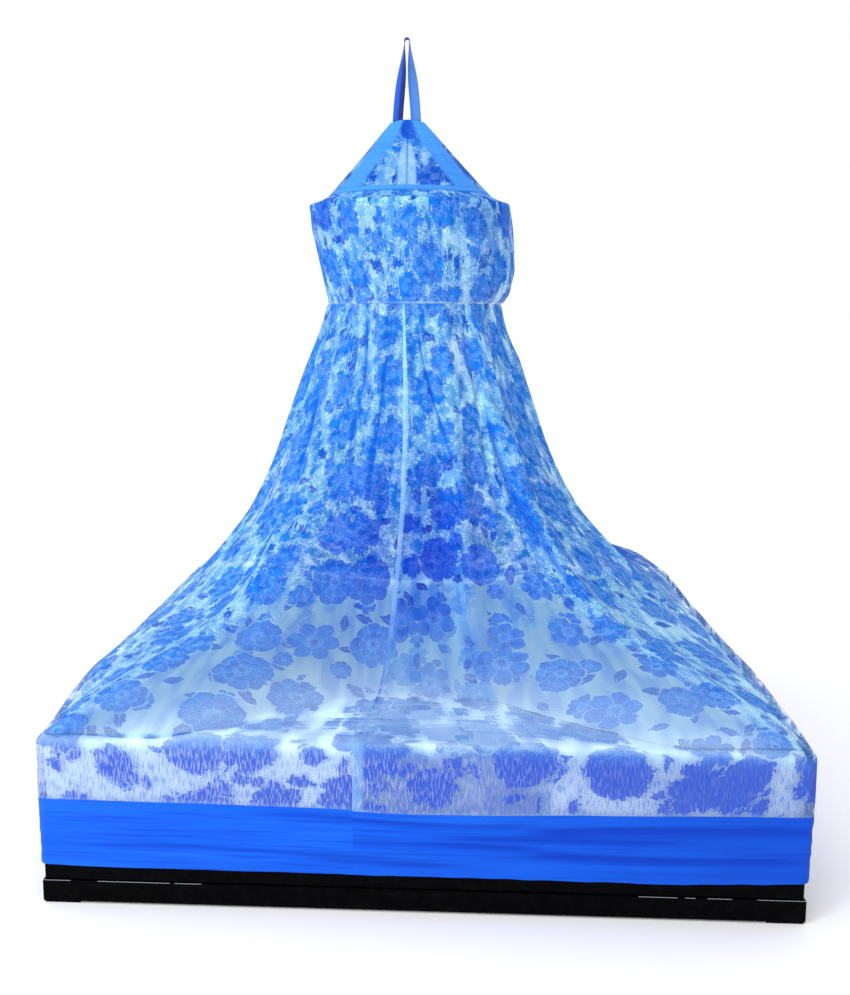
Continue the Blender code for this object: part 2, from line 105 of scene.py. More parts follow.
def joined(*parts):
    # coordinates joined into one grid of points
    return np.stack(np.broadcast_arrays(*parts), axis=-1)


def stepLengths(points, axis):
    # the distance from each point to the next, along the rows or the columns
    return np.linalg.norm(np.diff(points, axis=axis), axis=-1)


def pathLength(points):
    # the distance run down each column of a grid of points
    return np.concatenate([np.zeros((1, points.shape[1])), np.cumsum(stepLengths(points, 0), axis=0)])


def addObject(name, data):
    thing = bpy.data.objects.new(name, data)
    bpy.context.scene.collection.objects.link(thing)
    return thing


def makeSheet(name, points, uv=None, closed=False, capped=False, marks=None):
    # a mesh of quads over a grid of points: rows from the top down, columns to the right seen from outside
    rows, columns = points.shape[:2]
    across = columns if closed else columns - 1
    row, column = np.meshgrid(np.arange(rows - 1), np.arange(across), indexing="ij")
    after = (column + 1) % columns
    faces = np.stack([row * columns + column, (row + 1) * columns + column,
                      (row + 1) * columns + after, row * columns + after], axis=-1).reshape(-1, 4).tolist()
    if capped:
        last = rows * columns
        faces += [list(range(columns)), list(range(last - 1, last - columns - 1, -1))]
    mesh = bpy.data.meshes.new(name)
    mesh.from_pydata(points.reshape(-1, 3).tolist(), [], faces)
    if uv is not None:
        corners = [uv[row, column], uv[row + 1, column], uv[row + 1, column + 1], uv[row, column + 1]]
        corners = np.stack(corners, axis=2).astype(np.float32).ravel()
        mesh.uv_layers.new(name="cloth").data.foreach_set("uv", corners)
    for mark, values in (marks or {}).items():
        spread = np.broadcast_to(values, (rows, columns)).astype(np.float32).ravel()
        mesh.attributes.new(mark, "FLOAT", "POINT").data.foreach_set("value", spread)
    mesh.shade_smooth()
    mesh.update()
    return addObject(name, mesh)


def finishPiece(piece, material, slotName, *nodes):
    piece.data.materials.append(material)
    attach(piece, "root")
    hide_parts(*nodes)
    return piece


def addNode(tree, kind, inputs=(), **settings):
    # a node whose inputs are numbers, colours or other nodes' values; gives all its outputs
    node = tree.nodes.new(kind)
    for key, value in settings.items():
        setattr(node, key, value)
    for key, value in dict(inputs).items():
        feed(tree, node.inputs[key], value)
    return [NodeValue(tree, output) for output in node.outputs]


def feed(tree, socket, value):
    if isinstance(value, NodeValue):
        tree.links.new(value.socket, socket)
    else:
        socket.default_value = value


def mathNode(operation, swapped=False):
    def combine(value, *others):
        inputs = (*others, value) if swapped else (value, *others)
        return addNode(value.tree, "ShaderNodeMath", enumerate(inputs), operation=operation)[0]
    return combine


class NodeValue:
    # a node's output: arithmetic on it adds a math node for each step
    def __init__(self, tree, socket):
        self.tree, self.socket = tree, socket

    def clamped(self):
        self.socket.node.use_clamp = True
        return self

    __add__, __sub__, __mul__, __truediv__ = map(mathNode, ("ADD", "SUBTRACT", "MULTIPLY", "DIVIDE"))
    __pow__, __gt__, __lt__, __abs__ = map(mathNode, ("POWER", "GREATER_THAN", "LESS_THAN", "ABSOLUTE"))
    __rsub__ = mathNode("SUBTRACT", swapped=True)
    line, larger, smaller = map(mathNode, ("MULTIPLY_ADD", "MAXIMUM", "MINIMUM"))
    sine, cosine, arctan, root = map(mathNode, ("SINE", "COSINE", "ARCTAN2", "SQRT"))


class NodeSurface:
    # a material under way, with short ways to add the nodes that feed its shader
    def __init__(self, name, roughness, specular):
        self.material = bpy.data.materials.new(name)
        self.material.use_nodes = True
        self.tree = self.material.node_tree
        self.put("Roughness", roughness)
        self.put("Specular IOR Level", specular)

    def put(self, name, value):
        feed(self.tree, self.tree.nodes["Principled BSDF"].inputs[name], value)

    def add(self, kind, inputs=(), **settings):
        return addNode(self.tree, kind, inputs, **settings)

    def cloth(self):
        return self.add("ShaderNodeUVMap", uv_map="cloth")[0]

    def place(self):
        return self.add("ShaderNodeTexCoord")[3]

    def mark(self, name):
        return self.add("ShaderNodeAttribute", attribute_name=name)[2]

    def vector(self, operation, *values):
        return self.add("ShaderNodeVectorMath", enumerate(values), operation=operation)[0]

    def split(self, vector):
        return self.add("ShaderNodeSeparateXYZ", {0: vector})

    def join(self, x, y):
        return self.add("ShaderNodeCombineXYZ", {0: x, 1: y})[0]

    def mix(self, share, first, second):
        return self.add("ShaderNodeMix", {0: share, 2: first, 3: second})[0]

    def blend(self, share, first, second):
        return self.add("ShaderNodeMix", {0: share, 6: first, 7: second}, data_type="RGBA")[2]

    def noise(self, place, scale, detail=2.0, roughness=0.5, output=0):
        # a scale of three numbers stretches the noise
        if isinstance(scale, tuple):
            place, scale = self.add("ShaderNodeMapping", {"Vector": place, "Scale": scale})[0], 1.0
        return self.add("ShaderNodeTexNoise", {"Vector": place, "Scale": scale, "Detail": detail,
                                               "Roughness": roughness})[output]

    def shifts(self, place, pitch, detail, roughness=0.5):
        # a random shift from -0.5 to 0.5 each way
        return self.vector("SUBTRACT", self.noise(place, 1.0 / pitch, detail, roughness, 1), (0.5, 0.5, 0.5))

    def finish(self, colour, height, strength, distance):
        self.put("Base Color", colour)
        self.put("Normal", self.add("ShaderNodeBump", {"Strength": strength, "Distance": distance,
                                                       "Height": height})[0])
        return self.material


floral = {
    "flowerPitch": 0.158, "flowerSize": 0.050, "flowerSpread": 0.020,
    "smallPitch": 0.150, "smallSize": 0.022, "smallSpread": 0.014,
    "leafPitch": 0.074, "leafSize": 0.020, "leafSpread": 0.016, "leafWidth": 0.44, "midrib": 0.0007,
    "softEdge": 0.0022, "gap": 0.003,
    "wobble": 0.026, "wobblePitch": 0.075, "ragged": 0.030, "raggedPitch": 0.010,
    "ground": (0.24, 0.68, 0.97, 1), "groundDeep": (0.008, 0.21, 0.70, 1),
    "groundShadedSide": (0.24, 0.37, 0.66, 1), "closeShadeGround": (0.70, 0.68, 0.90, 1),
    "petal": (0.002, 0.100, 0.56, 1), "petalLight": (0.010, 0.23, 0.72, 1),
    "petalDeep": (0.001, 0.022, 0.36, 1), "petalShadedSide": (0.055, 0.15, 0.58, 1),
    "closeShadePetal": (0.25, 0.26, 0.76, 1), "line": (0.20, 0.46, 0.84, 1), "fleck": (0.56, 0.84, 0.92, 1),
    "hem": (0.32, 0.66, 0.90, 1), "ridgeHighlight": (0.46, 0.60, 0.84, 1), "wrinkleShade": (0.10, 0.19, 0.62, 1),
    "groundCover": 0.21, "groundCoverDeep": 0.44, "petalCover": 0.72, "fleckCover": 0.55,
    "hemCover": 0.40, "ridgeCover": 0.58,
    "streaks": (5.0, 60.0, 1.0), "crinkles": (250.0, 40.0, 1.0), "pleats": (80.0, 7.0, 1.0),
    "patches": (26.0, 7.0, 1.0), "squiggles": 160.0, "squiggleWidth": 0.048, "lace": 330.0,
}


def scatter(net, place, shift, pitch, randomness):
    # one motif in each cell: where a point lies from its motif's centre, and three random numbers for it
    moved = net.vector("ADD", place, shift)
    cells = net.add("ShaderNodeTexVoronoi", {"Vector": moved, "Scale": 1.0 / pitch, "Randomness": randomness},
                    voronoi_dimensions="2D", feature="F1")
    x, y, _ = net.split(net.vector("SUBTRACT", moved, cells[2]))
    return x, y, *net.add("ShaderNodeSeparateColor", {0: cells[1]})


def printFlowers(net, place, shift, look, name):
    # two kinds of flower: round ones with eight overlapping petals, and open ones with six petals; gives how
    # much of a point is petal, its light lines with its stamens, and how far inside the edge it lies
    pitch, smallest, spread = (look[name + part] for part in ("Pitch", "Size", "Spread"))
    x, y, turn, size, kind = scatter(net, place, shift, pitch, 0.62)
    away = (x * x + y * y).root()
    angle = turn.line(2 * math.pi, y.arctan(x))
    reach = size.line(spread, smallest)
    isRound = kind > 0.52
    halfPetals = isRound.line(1.0, 3.0)
    notch = abs((angle * halfPetals).cosine())
    full = notch.root()
    edge = 1.0 - isRound.line(-0.26, 0.42) * (1.0 - full)
    inReach = away / reach
    depth = (edge - inReach) * reach
    filled = (depth / look["softEdge"]).clamped()
    rim = (abs(inReach - full.line(0.16, 0.46)) < 0.018) * isRound
    between = (notch < 0.12) * (inReach > 0.30)
    nearMiddle = abs(inReach - isRound.line(-0.06, 0.26)) < 0.10
    stamens = ((angle * 21.0).sine() > 0.45) * nearMiddle * filled
    return filled, (rim.larger(between) * filled * 0.45).larger(stamens), depth


def printLeaves(net, place, look, clear):
    # pointed leaves with a midrib, kept clear of the flowers
    x, y, turn, size, kind = scatter(net, place, (3.71, 1.93, 0), look["leafPitch"], 0.9)
    angle = turn * (2 * math.pi)
    cosine, sine = angle.cosine(), angle.sine()
    along, across = x * cosine + y * sine, abs(y * cosine - x * sine)
    half = size.line(look["leafSpread"], look["leafSize"])
    share = along / half
    width = (1.0 - share * share) * half * look["leafWidth"]
    leaf = ((width - across) / look["softEdge"]).clamped() * (kind > 0.28) * clear
    return leaf, (across < look["midrib"]) * leaf


def makePrintedNet(name, look):
    # the print follows the cloth's own UV map, in metres, and the marks say how the cloth is held at each
    # point: gathered, hemmed, hanging in crinkles that may be smoothed, lying in streaks, folded, or with
    # gathers that lie close, and several also say where shade and light are painted; along and down give
    # its place in metres, and a mark that a sheet lacks reads 0
    net = NodeSurface(name, 0.8, 0.08)
    cloth = net.cloth()
    gathered, hemsAndShading, crinkled, streaked, foldedAndShaded, closeAndShaded = (
        net.mark(mark) for mark in ("gathered", "hemsAndShading", "crinkled", "streaked", "foldedAndShaded", "closeAndShaded"))
    thread = net.join(net.mark("along"), net.mark("down"))
    streak, crinkle = net.noise(cloth, look["streaks"], 1.0), net.noise(thread, look["crinkles"], 1.0)
    # the print wobbles, and the knit pulls it ragged where it is gathered
    wobble = net.shifts(cloth, look["wobblePitch"], 3.0, 0.55)
    place = net.vector("MULTIPLY_ADD", wobble, (look["wobble"], look["wobble"], 0.0), cloth)
    ragged = net.shifts(cloth, look["raggedPitch"], 1.0)
    pulled = gathered.smaller(1.0).larger(crinkled).larger(0.28) * look["ragged"]
    place = net.vector("MULTIPLY_ADD", ragged, net.join(pulled, pulled), place)
    # where the cloth lies in ripples, each ripple hides and shows strips of the print
    rippled = (streak - 0.5) * (streaked * 0.10)
    # and close gathers part it into narrow upright strips
    parted = gathered.smaller(crinkled.line(-0.7, 1.2)) * 0.048
    parted = (net.noise(thread, look["pleats"], 1.0) - 0.5) * parted
    place = net.vector("ADD", place, net.join(parted, rippled))
    big, bigLines, bigDepth = printFlowers(net, place, (0, 0, 0), look, "flower")
    small, smallLines, smallDepth = printFlowers(net, place, (5.13, 2.37, 0), look, "small")
    apart = ((-look["gap"] - bigDepth) / 0.001).clamped()
    small, smallLines = small * apart, smallLines * apart
    depth = bigDepth.larger(smallDepth)
    leaf, midrib = printLeaves(net, place, look, ((-look["gap"] - depth) / 0.001).clamped())
    plain = hemsAndShading.line(-0.8, 1.0)
    shape = big.larger(small).larger(leaf) * plain
    lines = bigLines.larger(smallLines).larger(midrib * 0.6) * (plain * (1.0 - crinkled))
    lines = lines * gathered.line(-0.5, 0.9).clamped()
    # short bright squiggles where the knit catches the light: pieces of a noise's level lines
    worm = abs(net.noise(cloth, look["squiggles"], 0.0) - 0.5) < look["squiggleWidth"]
    flecks = worm * (net.noise(cloth, 36.0, 1.0) > 0.49) * shape.line(-0.6, 1.0)
    flecks = flecks * gathered.line(1.0, 0.45).clamped() * (1.0 - crinkled)
    tone = net.noise(cloth, look["patches"], 1.0).line(3.8, -1.50).clamped()
    tone = net.mix(crinkled * 0.7, tone, 0.75)
    # on the hanging sides the ground and the petals turn greyer and deeper: painted shade
    ground = net.blend(crinkled, net.blend(tone, look["groundDeep"], look["ground"]), look["groundShadedSide"])
    petalTone = net.noise(cloth, 38.0, 1.0).line(2.0, -0.6).clamped()
    petal = net.blend(petalTone, look["petal"], look["petalLight"])
    petal = net.blend(depth.line(-160.0, 0.9).clamped() * 0.5, petal, look["petalDeep"])
    # painted shade on the hanging sides
    petal = net.blend(crinkled, petal, look["petalShadedSide"])
    # in the hanging crinkles, painted shade in the hollows and a painted highlight on the ridges; in the
    # lying ripples, deeper and denser troughs, where the cloth rolls over and shade is painted
    wrinkled = crinkle.line(-8.0, 3.7).clamped() * crinkled
    ridged = crinkle.line(9.0, -4.35).clamped() * (crinkled - net.mark("smoothed"))
    rolled = streak.line(-7.0, 2.9).clamped() * streaked
    # each colour goes over those before it; the last is deeper along the creases, where the cloth folds
    # double and where shade is painted
    colour = net.blend(shape, ground, petal)
    for share, over in ((lines, "line"), (hemsAndShading, "hem"), (flecks * 0.75, "fleck"),
                        (rolled * 0.6, "petalLight"), (wrinkled * 0.7, "wrinkleShade"), (ridged * 0.7, "ridgeHighlight"),
                        (foldedAndShaded * 0.8, "petal")):
        colour = net.blend(share, colour, look[over])
    # gathers that lie close double the print; the same tint is painted shade on the far wall, the hanging
    # sides and the landing line
    shadeTint = net.blend(closeAndShaded, (1, 1, 1, 1), net.blend(shape, look["closeShadeGround"], look["closeShadePetal"]))
    # how much one layer hides: more on petals, flecks and hems, and more where gathers lie close together
    cover = tone.line(look["groundCover"] - look["groundCoverDeep"], look["groundCoverDeep"])
    cover = net.mix(shape, cover, look["petalCover"]) * net.noise(cloth, look["lace"], 1.0).line(1.0, 0.5)
    cover = cover.larger(flecks * look["fleckCover"]).larger(hemsAndShading * look["hemCover"])
    cover = wrinkled.line(0.30, rolled.line(0.16, cover).clamped()).clamped()
    cover = foldedAndShaded.line(0.35, cover.larger(ridged * look["ridgeCover"])).clamped()
    net.put("Alpha", (1.0 - (1.0 - cover) ** (gathered + 1.0)).clamped())
    height = (streak * streaked).line(3.0, crinkle * crinkled.line(3.0, 0.4))
    return net.finish(net.vector("MULTIPLY", colour, shadeTint), height, 0.7, 0.0015)


cotton = {"colour": (0.002, 0.088, 0.66, 1), "deep": (0.001, 0.042, 0.46, 1),
          "light": (0.007, 0.13, 0.76, 1), "thread": 0.0011}
# the crown's blue cloth is the border's, made lighter where it sits high in the light: painted light
litCrownCotton = {"colour": (0.042, 0.27, 0.83, 1), "deep": (0.022, 0.18, 0.73, 1),
               "light": (0.065, 0.33, 0.91, 1), "thread": 0.0011}
webbingLook = {"deep": (0.003, 0.06, 0.52, 1), "light": (0.012, 0.14, 0.78, 1),
               "paleLit": (0.09, 0.27, 0.66, 1), "hemsAndShading": (0.002, 0.008, 0.10, 1), "rib": 0.0016}
tickingLook = {"deep": (0.74, 0.94, 1.0, 1), "light": (0.82, 0.98, 1.0, 1)}
lacquerLook = {"black": (0.0006, 0.0006, 0.0010, 1), "dust": (0.004, 0.004, 0.006, 1),
               "ledgeHighlight": (0.34, 0.36, 0.41, 1), "ledge": 0.0589, "highlightFrom": 0.52}
wireLook = {"deep": (0.55, 0.68, 0.92, 1), "light": (0.75, 0.84, 0.98, 1)}


def makeSolidCloth(name, look):
    # a close plain weave: two crossed threads in the bump, with slow changes of tone and rubbed streaks
    weave = NodeSurface(name, 0.7, 0.12)
    weave.put("Sheen Weight", 0.02)
    cloth = weave.cloth()
    slow, rubbed = weave.noise(cloth, (1.2, 9.0, 1.0), 3.0), weave.noise(cloth, (3.5, 140.0, 1.0), 2.0)
    colour = weave.blend(slow.line(2.2, -0.6).clamped(), look["colour"], look["light"])
    colour = weave.blend(rubbed.line(2.4, -1.15).clamped(), colour, look["deep"])
    # deeper on hems and stitches, and where the same mark carries painted shade
    colour = weave.blend(weave.mark("hemsAndShading") * 0.6, colour, look["deep"])
    warp, weft, _ = weave.split(cloth)
    turns = 2 * math.pi / look["thread"]
    threads = (warp * turns).sine() * (weft * turns).sine()
    return weave.finish(colour, threads.line(0.25, rubbed * 1.5), 0.5, 0.0008)


def makeWebbing(name, look):
    # close ribs across the tape
    webbing = NodeSurface(name, 0.55, 0.3)
    cloth = webbing.cloth()
    colour = webbing.blend(webbing.noise(cloth, (60.0, 12.0, 1.0), 2.0), look["deep"], look["light"])
    for mark in ("paleLit", "hemsAndShading"):
        colour = webbing.blend(webbing.mark(mark), colour, look[mark])
    _, along, _ = webbing.split(cloth)
    return webbing.finish(colour, (along * (2 * math.pi / look["rib"])).sine(), 0.5, 0.0005)


def makeTicking(name, look):
    # plain pale cloth with a faint twill
    ticking = NodeSurface(name, 0.85, 0.2)
    place = ticking.place()
    colour = ticking.blend(ticking.noise(place, 3.0, 3.0), look["deep"], look["light"])
    return ticking.finish(colour, ticking.noise(place, (260.0, 260.0, 90.0), 2.0), 0.4, 0.001)


def makeLacquer(name, look, footEdge):
    # black gloss over flat board: faint dust and hairlines in the gloss, and a painted highlight along the
    # ledge's edge here and there near its ends
    board = NodeSurface(name, 0.2, 0.03)
    place = board.place()
    hairlines = board.noise(place, (3.0, 3.0, 220.0), 3.0, 0.7)
    dust = board.noise(place, 38.0, 5.0, 0.7).line(2.0, -0.95).clamped()
    x, y, height = board.split(place)
    nearCorner = (abs(x) > look["highlightFrom"]) * (abs(y) > footEdge - 0.0016)
    ledgeHighlight = (abs(height - look["ledge"]) < 0.0012) * nearCorner * (board.noise(place, 14.0, 3.0) > 0.44)
    board.put("Roughness", dust.line(0.12, hairlines.line(0.16, 0.12)))
    colour = board.blend(ledgeHighlight, board.blend(dust, look["black"], look["dust"]), look["ledgeHighlight"])
    return board.finish(colour, hairlines, 0.08, 0.0004)


def makeWire(name, look):
    wire = NodeSurface(name, 0.4, 0.4)
    tone = wire.noise(wire.place(), 60.0, 3.0)
    return wire.finish(wire.blend(tone, look["deep"], look["light"]), tone, 0.2, 0.0004)


printedNet = makePrintedNet("printed net", floral)
solidCloth = makeSolidCloth("solid blue cloth", cotton)
litCrownCloth = makeSolidCloth("crown cloth", litCrownCotton)
webbing = makeWebbing("blue webbing", webbingLook)
ticking = makeTicking("pale ticking", tickingLook)
footEdge = max(vertex.co.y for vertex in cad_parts["bed_plinth"].data.vertices)
lacquer = makeLacquer("black lacquer", lacquerLook, footEdge)
wire = makeWire("coated wire", wireLook)
print("materials made")


def reachToEdge(azimuth):
    # from the axis outwards to a rectangle with rounded corners, the bed's outline
    turn = np.radians(azimuth)
    alongX, alongY = np.sin(turn), -np.cos(turn)
    halfX, halfY, rounding, axisX = bed["width"] / 2, bed["length"] / 2, bed["cornerRound"], canopy["axisX"]
    toSide = (np.sign(alongX) * halfX - axisX) / np.where(np.abs(alongX) < 1e-9, 1e-9, alongX)
    toEnd = np.sign(alongY) * halfY / np.where(np.abs(alongY) < 1e-9, 1e-9, alongY)
    straight = np.minimum(np.abs(toSide), np.abs(toEnd))
    pointX, pointY = axisX + straight * alongX, straight * alongY
    centreX, centreY = np.sign(pointX) * (halfX - rounding), np.sign(pointY) * (halfY - rounding)
    startX, startY = axisX - centreX, -centreY
    middle = alongX * startX + alongY * startY
    root = middle ** 2 - startX ** 2 - startY ** 2 + rounding ** 2
    inCorner = (np.abs(pointX) > np.abs(centreX)) & (np.abs(pointY) > np.abs(centreY))
    return np.where(inCorner, -middle + np.sqrt(np.maximum(root, 0.0)), straight)


# a table that turns an azimuth into the length run along the bed's outline, and back
azimuthTable = np.linspace(-540.0, 180.0, 72001)
outlineX, outlineY = around(reachToEdge(azimuthTable), azimuthTable, canopy["axisX"])
lengthTable = np.concatenate([[0.0], np.cumsum(np.hypot(np.diff(outlineX), np.diff(outlineY)))])
lengthTable -= np.interp(0.0, azimuthTable, lengthTable)
outlineLength = -np.interp(-360.0, azimuthTable, lengthTable)


def lengthAt(azimuth):
    return np.interp(azimuth, azimuthTable, lengthTable)


def azimuthAt(length):
    return np.interp(length, lengthTable, azimuthTable)


mattressLook = {"round": 0.021, "corner": 0.04, "bulge": 0.003, "piping": 0.0008, "pipingWidth": 0.004,
                "wallRows": 17, "turnRows": 9, "shrinks": (0.9, 0.6, 0.3, 0.1, 0.05)}


def roundedRing(halfX, halfY, rounding, steps=8):
    # points round a rectangle with rounded corners: four straight runs joined by quarter circles
    turn = np.linspace(0, np.pi / 2, steps)
    side = np.linspace(0, 1, 4 * steps)[1:-1]
    ring = []
    for quarter, (signX, signY) in enumerate(((1, 1), (-1, 1), (-1, -1), (1, -1))):
        angle = turn + quarter * np.pi / 2
        centre = (signX * (halfX - rounding), signY * (halfY - rounding))
        ring.append(centre + rounding * np.stack([np.cos(angle), np.sin(angle)], axis=1))
    parts = []
    for quarter in range(4):
        first, second = ring[quarter][-1], ring[(quarter + 1) % 4][0]
        parts += [ring[quarter], first + (second - first) * side[:, None]]
    return np.concatenate(parts)


def makeMattress(look):
    # rings of the outline stacked from the middle of the underside to the middle of the top; between the two
    # rounded edges the wall bulges by the sine of its height, with a raised piping at each edge
    low, high, rounding, shrinks = bed["mattressLow"], bed["mattressTop"], look["round"], look["shrinks"]
    halfX, halfY = bed["width"] / 2 - bed["mattressInset"], bed["length"] / 2 - bed["mattressInset"]
    turn = np.radians(np.linspace(90, 0, look["turnRows"]))
    wall = np.linspace(0, 1, look["wallRows"])[1:-1]
    turnedIn, turnedDown = rounding * (1 - np.cos(turn)), rounding * (1 - np.sin(turn))
    inset = np.concatenate([shrinks, turnedIn, 0 * wall, turnedIn[::-1], shrinks[::-1]])
    flat = np.ones(len(shrinks))
    height = np.concatenate([flat * low, low + turnedDown,
                             (low + rounding) + (high - low - 2 * rounding) * wall,
                             high - turnedDown[::-1], flat * high])
    outward = look["bulge"] * np.sin(np.pi * (height - low) / (high - low)) - look["bulge"]
    outward += look["piping"] * (bell(height - low - rounding, look["pipingWidth"])
                                 + bell(height - high + rounding, look["pipingWidth"]))
    rings = []
    for away, z, out in zip(inset, height, outward):
        if away > rounding:  # on the flat top or underside, as a share of the way in
            ring = roundedRing(halfX - rounding, halfY - rounding, look["corner"] - rounding / 2)
            ring = ring * (1.0 - away)
        else:
            ring = roundedRing(halfX - away + out, halfY - away + out, look["corner"])
        rings.append(np.column_stack([ring, np.full(len(ring), z)]))
    return makeSheet("mattress_pad", np.array(rings[::-1]), closed=True, capped=True)


mattress = finishPiece(makeMattress(mattressLook), ticking, "ticking", "mattress")
for name in ("bed_frame", "bed_plinth", "foot_front_left", "foot_front_right", "foot_back_left",
             "foot_back_right", "hoop"):
    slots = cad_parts[name].data.materials
    slots.clear()
    slots.append(wire if name == "hoop" else lacquer)
print("bed made")


# one row for each height: the distance from the axis toward the foot, a side, the head and the corners
sections = dict(zip(("height", "foot", "side", "head", "frontCorner", "backCorner"), np.array((
    (1.4387, 0.257, 0.257, 0.257, 0.257, 0.257), (1.4300, 0.257, 0.258, 0.257, 0.258, 0.258),
    (1.3400, 0.272, 0.276, 0.274, 0.281, 0.281), (1.2400, 0.296, 0.312, 0.300, 0.322, 0.322),
    (1.1300, 0.324, 0.350, 0.331, 0.362, 0.362), (1.0200, 0.355, 0.387, 0.366, 0.406, 0.406),
    (0.9100, 0.389, 0.434, 0.403, 0.465, 0.466), (0.8100, 0.422, 0.490, 0.440, 0.543, 0.548),
    (0.7200, 0.453, 0.565, 0.477, 0.630, 0.645), (0.6400, 0.484, 0.640, 0.514, 0.728, 0.790),
    (0.5700, 0.516, 0.715, 0.553, 0.865, 0.985), (0.5100, 0.550, 0.780, 0.596, 1.080, 1.165),
    (0.4600, 0.585, 0.835, 0.644, 1.240, 1.265), (0.4149, 0.625, 0.880, 0.720, 1.345, 1.345))).T))

# the main folds: azimuth, half width, and how far each stands out at the waist, half way and at the mattress
mainFolds = (
    (-58, 5.5, .009, .020, .010), (-39, 5.5, .011, .030, .014), (-17, 5.5, .010, .028, .012),
    (-2, 3.5, .006, .012, .005), (20, 5.5, .010, .027, .012), (42, 5.5, .010, .027, .014),
    (60, 5.0, .007, .016, .008), (79, 5.5, .010, .024, .011), (99, 5.0, .008, .019, .008),
    (119, 6.5, .011, .027, .012), (138, 5.0, .008, .022, .010), (157, 6.0, .010, .026, .010),
    (176, 4.5, .007, .017, .007), (194, 6.0, .011, .028, .012), (217, 5.5, .009, .022, .011),
    (236, 5.0, .010, .024, .009), (256, 6.5, .009, .021, .012), (279, 5.5, .010, .026, .010))

# the front opening: heights, and the azimuths of its outer and inner edges there
opening = {"height": (0.4149, 0.6900, 0.8700, 1.0800, 1.2300, 1.4387),
           "outer": (-6.0, -3.9, -2.8, -2.6, -3.6, -5.5), "inner": (20.0, 18.0, 20.0, 15.4, 9.0, 3.5)}
outerLow, innerLow = opening["outer"][0], opening["inner"][0]

# along the foot of the bed: places, how far the cloth puffs up, and how far its seam and hem droop
footLine = {"x": (-0.915, -0.760, -0.580, -0.350, 0.000, 0.310, 0.620, 0.915),
            "puff": (0.000, 0.012, 0.018, 0.008, 0.000, 0.000, 0.002, 0.000),
            "seam": (0.000, 0.000, 0.001, 0.005, 0.014, 0.010, 0.004, 0.000),
            "hem": (0.000, 0.002, 0.004, 0.005, 0.007, 0.006, 0.007, -0.003)}

# how high the taut cloth stays above the mattress's edge, by azimuth round the bed
edgeLift = {"azimuth": (-139, -134, -118, -98, -80, -66, -56, -50, -45, -41,
                        44, 50, 58, 68, 81, 98, 115),
            "height": (0, .022, .026, .026, .032, .038, .044, .030, .008, 0,
                       0, .022, .024, .028, .018, .008, 0)}

skirt = {
    "columns": 1120, "fallingRows": 36, "lyingRows": 32, "edgeRows": 5, "sideRows": 14,
    "rest": bed["mattressTop"] + 0.0008 + 0.00075,  # a gap and half the solid sheet's thickness over the pad
    "seamHeight": 0.2685, "seamGap": 0.00025, "sideMiddle": 0.342, "edgeClear": 0.012,
    "layerApart": 0.0035, "layerTaper": 16.0,  # the second in degrees, as are the next two
    "openingReach": 25.0, "cornerReach": 17.0, "landingRise": 0.6,
    "fineGathers": 150, "fineDepth": 0.0050, "mediumGathers": 70, "mediumDepth": 0.0085,
    "slowWaves": 26, "slowDepth": 0.0090, "streakDepth": 0.0022, "crinkleDepth": 0.0013,
    "hemWidth": 0.027, "backSeam": 0.009, "stitchInset": 0.006, "stitchWidth": 0.0055,
    "fanStart": 0.55, "secondHalf": (4.37, 2.61),  # the print's fan, and where its second half is laid
    "flat": (8.05, 1.78), "area": 9.0,
}


def sectionRadius(azimuth, height):
    # the mean of the foot, side and head distances, weighed by how squarely the cloth faces each, drawn out
    # to the corners by a bell round each corner's azimuth
    at = {name: smoothCurve(height, sections["height"], values) for name, values in sections.items()}
    turn = np.radians(azimuth)
    foot, head = np.clip(np.cos(turn), 0, 1) ** 4, np.clip(-np.cos(turn), 0, 1) ** 4
    side = np.abs(np.sin(turn)) ** 4
    plain = (foot * at["foot"] + head * at["head"] + side * at["side"]) / (foot + head + side)
    right, left = (math.degrees(math.atan2(bed["width"] / 2 + shift, bed["length"] / 2))
                   for shift in (-canopy["axisX"], canopy["axisX"]))
    front, back = (np.maximum(bell(turnFrom(azimuth, first), skirt["cornerReach"]),
                              bell(turnFrom(azimuth, second), skirt["cornerReach"]))
                   for first, second in ((right, -left), (180 - right, 180 + left)))
    return plain * (1 - front - back) + front * at["frontCorner"] + back * at["backCorner"]


def landing(azimuth):
    # where the falling cloth meets the mattress
    reach = reachToEdge(azimuth) - bed["edgeRound"] - skirt["edgeClear"]
    side = np.abs(np.sin(np.radians(azimuth))) ** 4
    plain = np.minimum(sectionRadius(azimuth, sections["height"][-1]), reach)
    return plain + (reach - plain) * side


def foldHeight(azimuth, share):
    # the sum of the main folds, each a bell whose height runs through its three sizes
    total = 0.0
    for centre, width, waist, middle, low in mainFolds:
        height = smoothCurve(share, (0.0, 0.05, 0.55, 1.0), (waist / 2, waist, middle, low))
        total = total + height * bell(turnFrom(azimuth, centre), width * (1 - 0.25 * share))
    return total


def gatherHeight(azimuth, share, look):
    # three sizes of gathers as random waves round the cloth: fine at the waist, wider and deeper further down
    cloth = lengthAt(azimuth) / outlineLength
    fine = softNoise(cloth * look["fineGathers"], share * 5, 11, look["fineGathers"])
    fine = (0.5 * fine + 0.6 - np.abs(fine)) * look["fineDepth"]
    medium = softNoise(cloth * look["mediumGathers"], share * 4, 12, look["mediumGathers"])
    medium = (0.5 * medium + 0.7 - 1.4 * np.abs(medium)) * look["mediumDepth"]
    slow = softNoise(cloth * look["slowWaves"], share * 3, 13, look["slowWaves"]) * look["slowDepth"]
    out = fine * np.exp(-share / 0.16)
    out = out + medium * ramp(share, 0.0, 0.15) * (1 - 0.65 * ramp(share, 0.4, 1.0))
    out = out + slow * ramp(share, 0.05, 0.4) * (1 - 0.6 * ramp(share, 0.7, 1.0))
    return out * ramp(share, -0.01, 0.02)


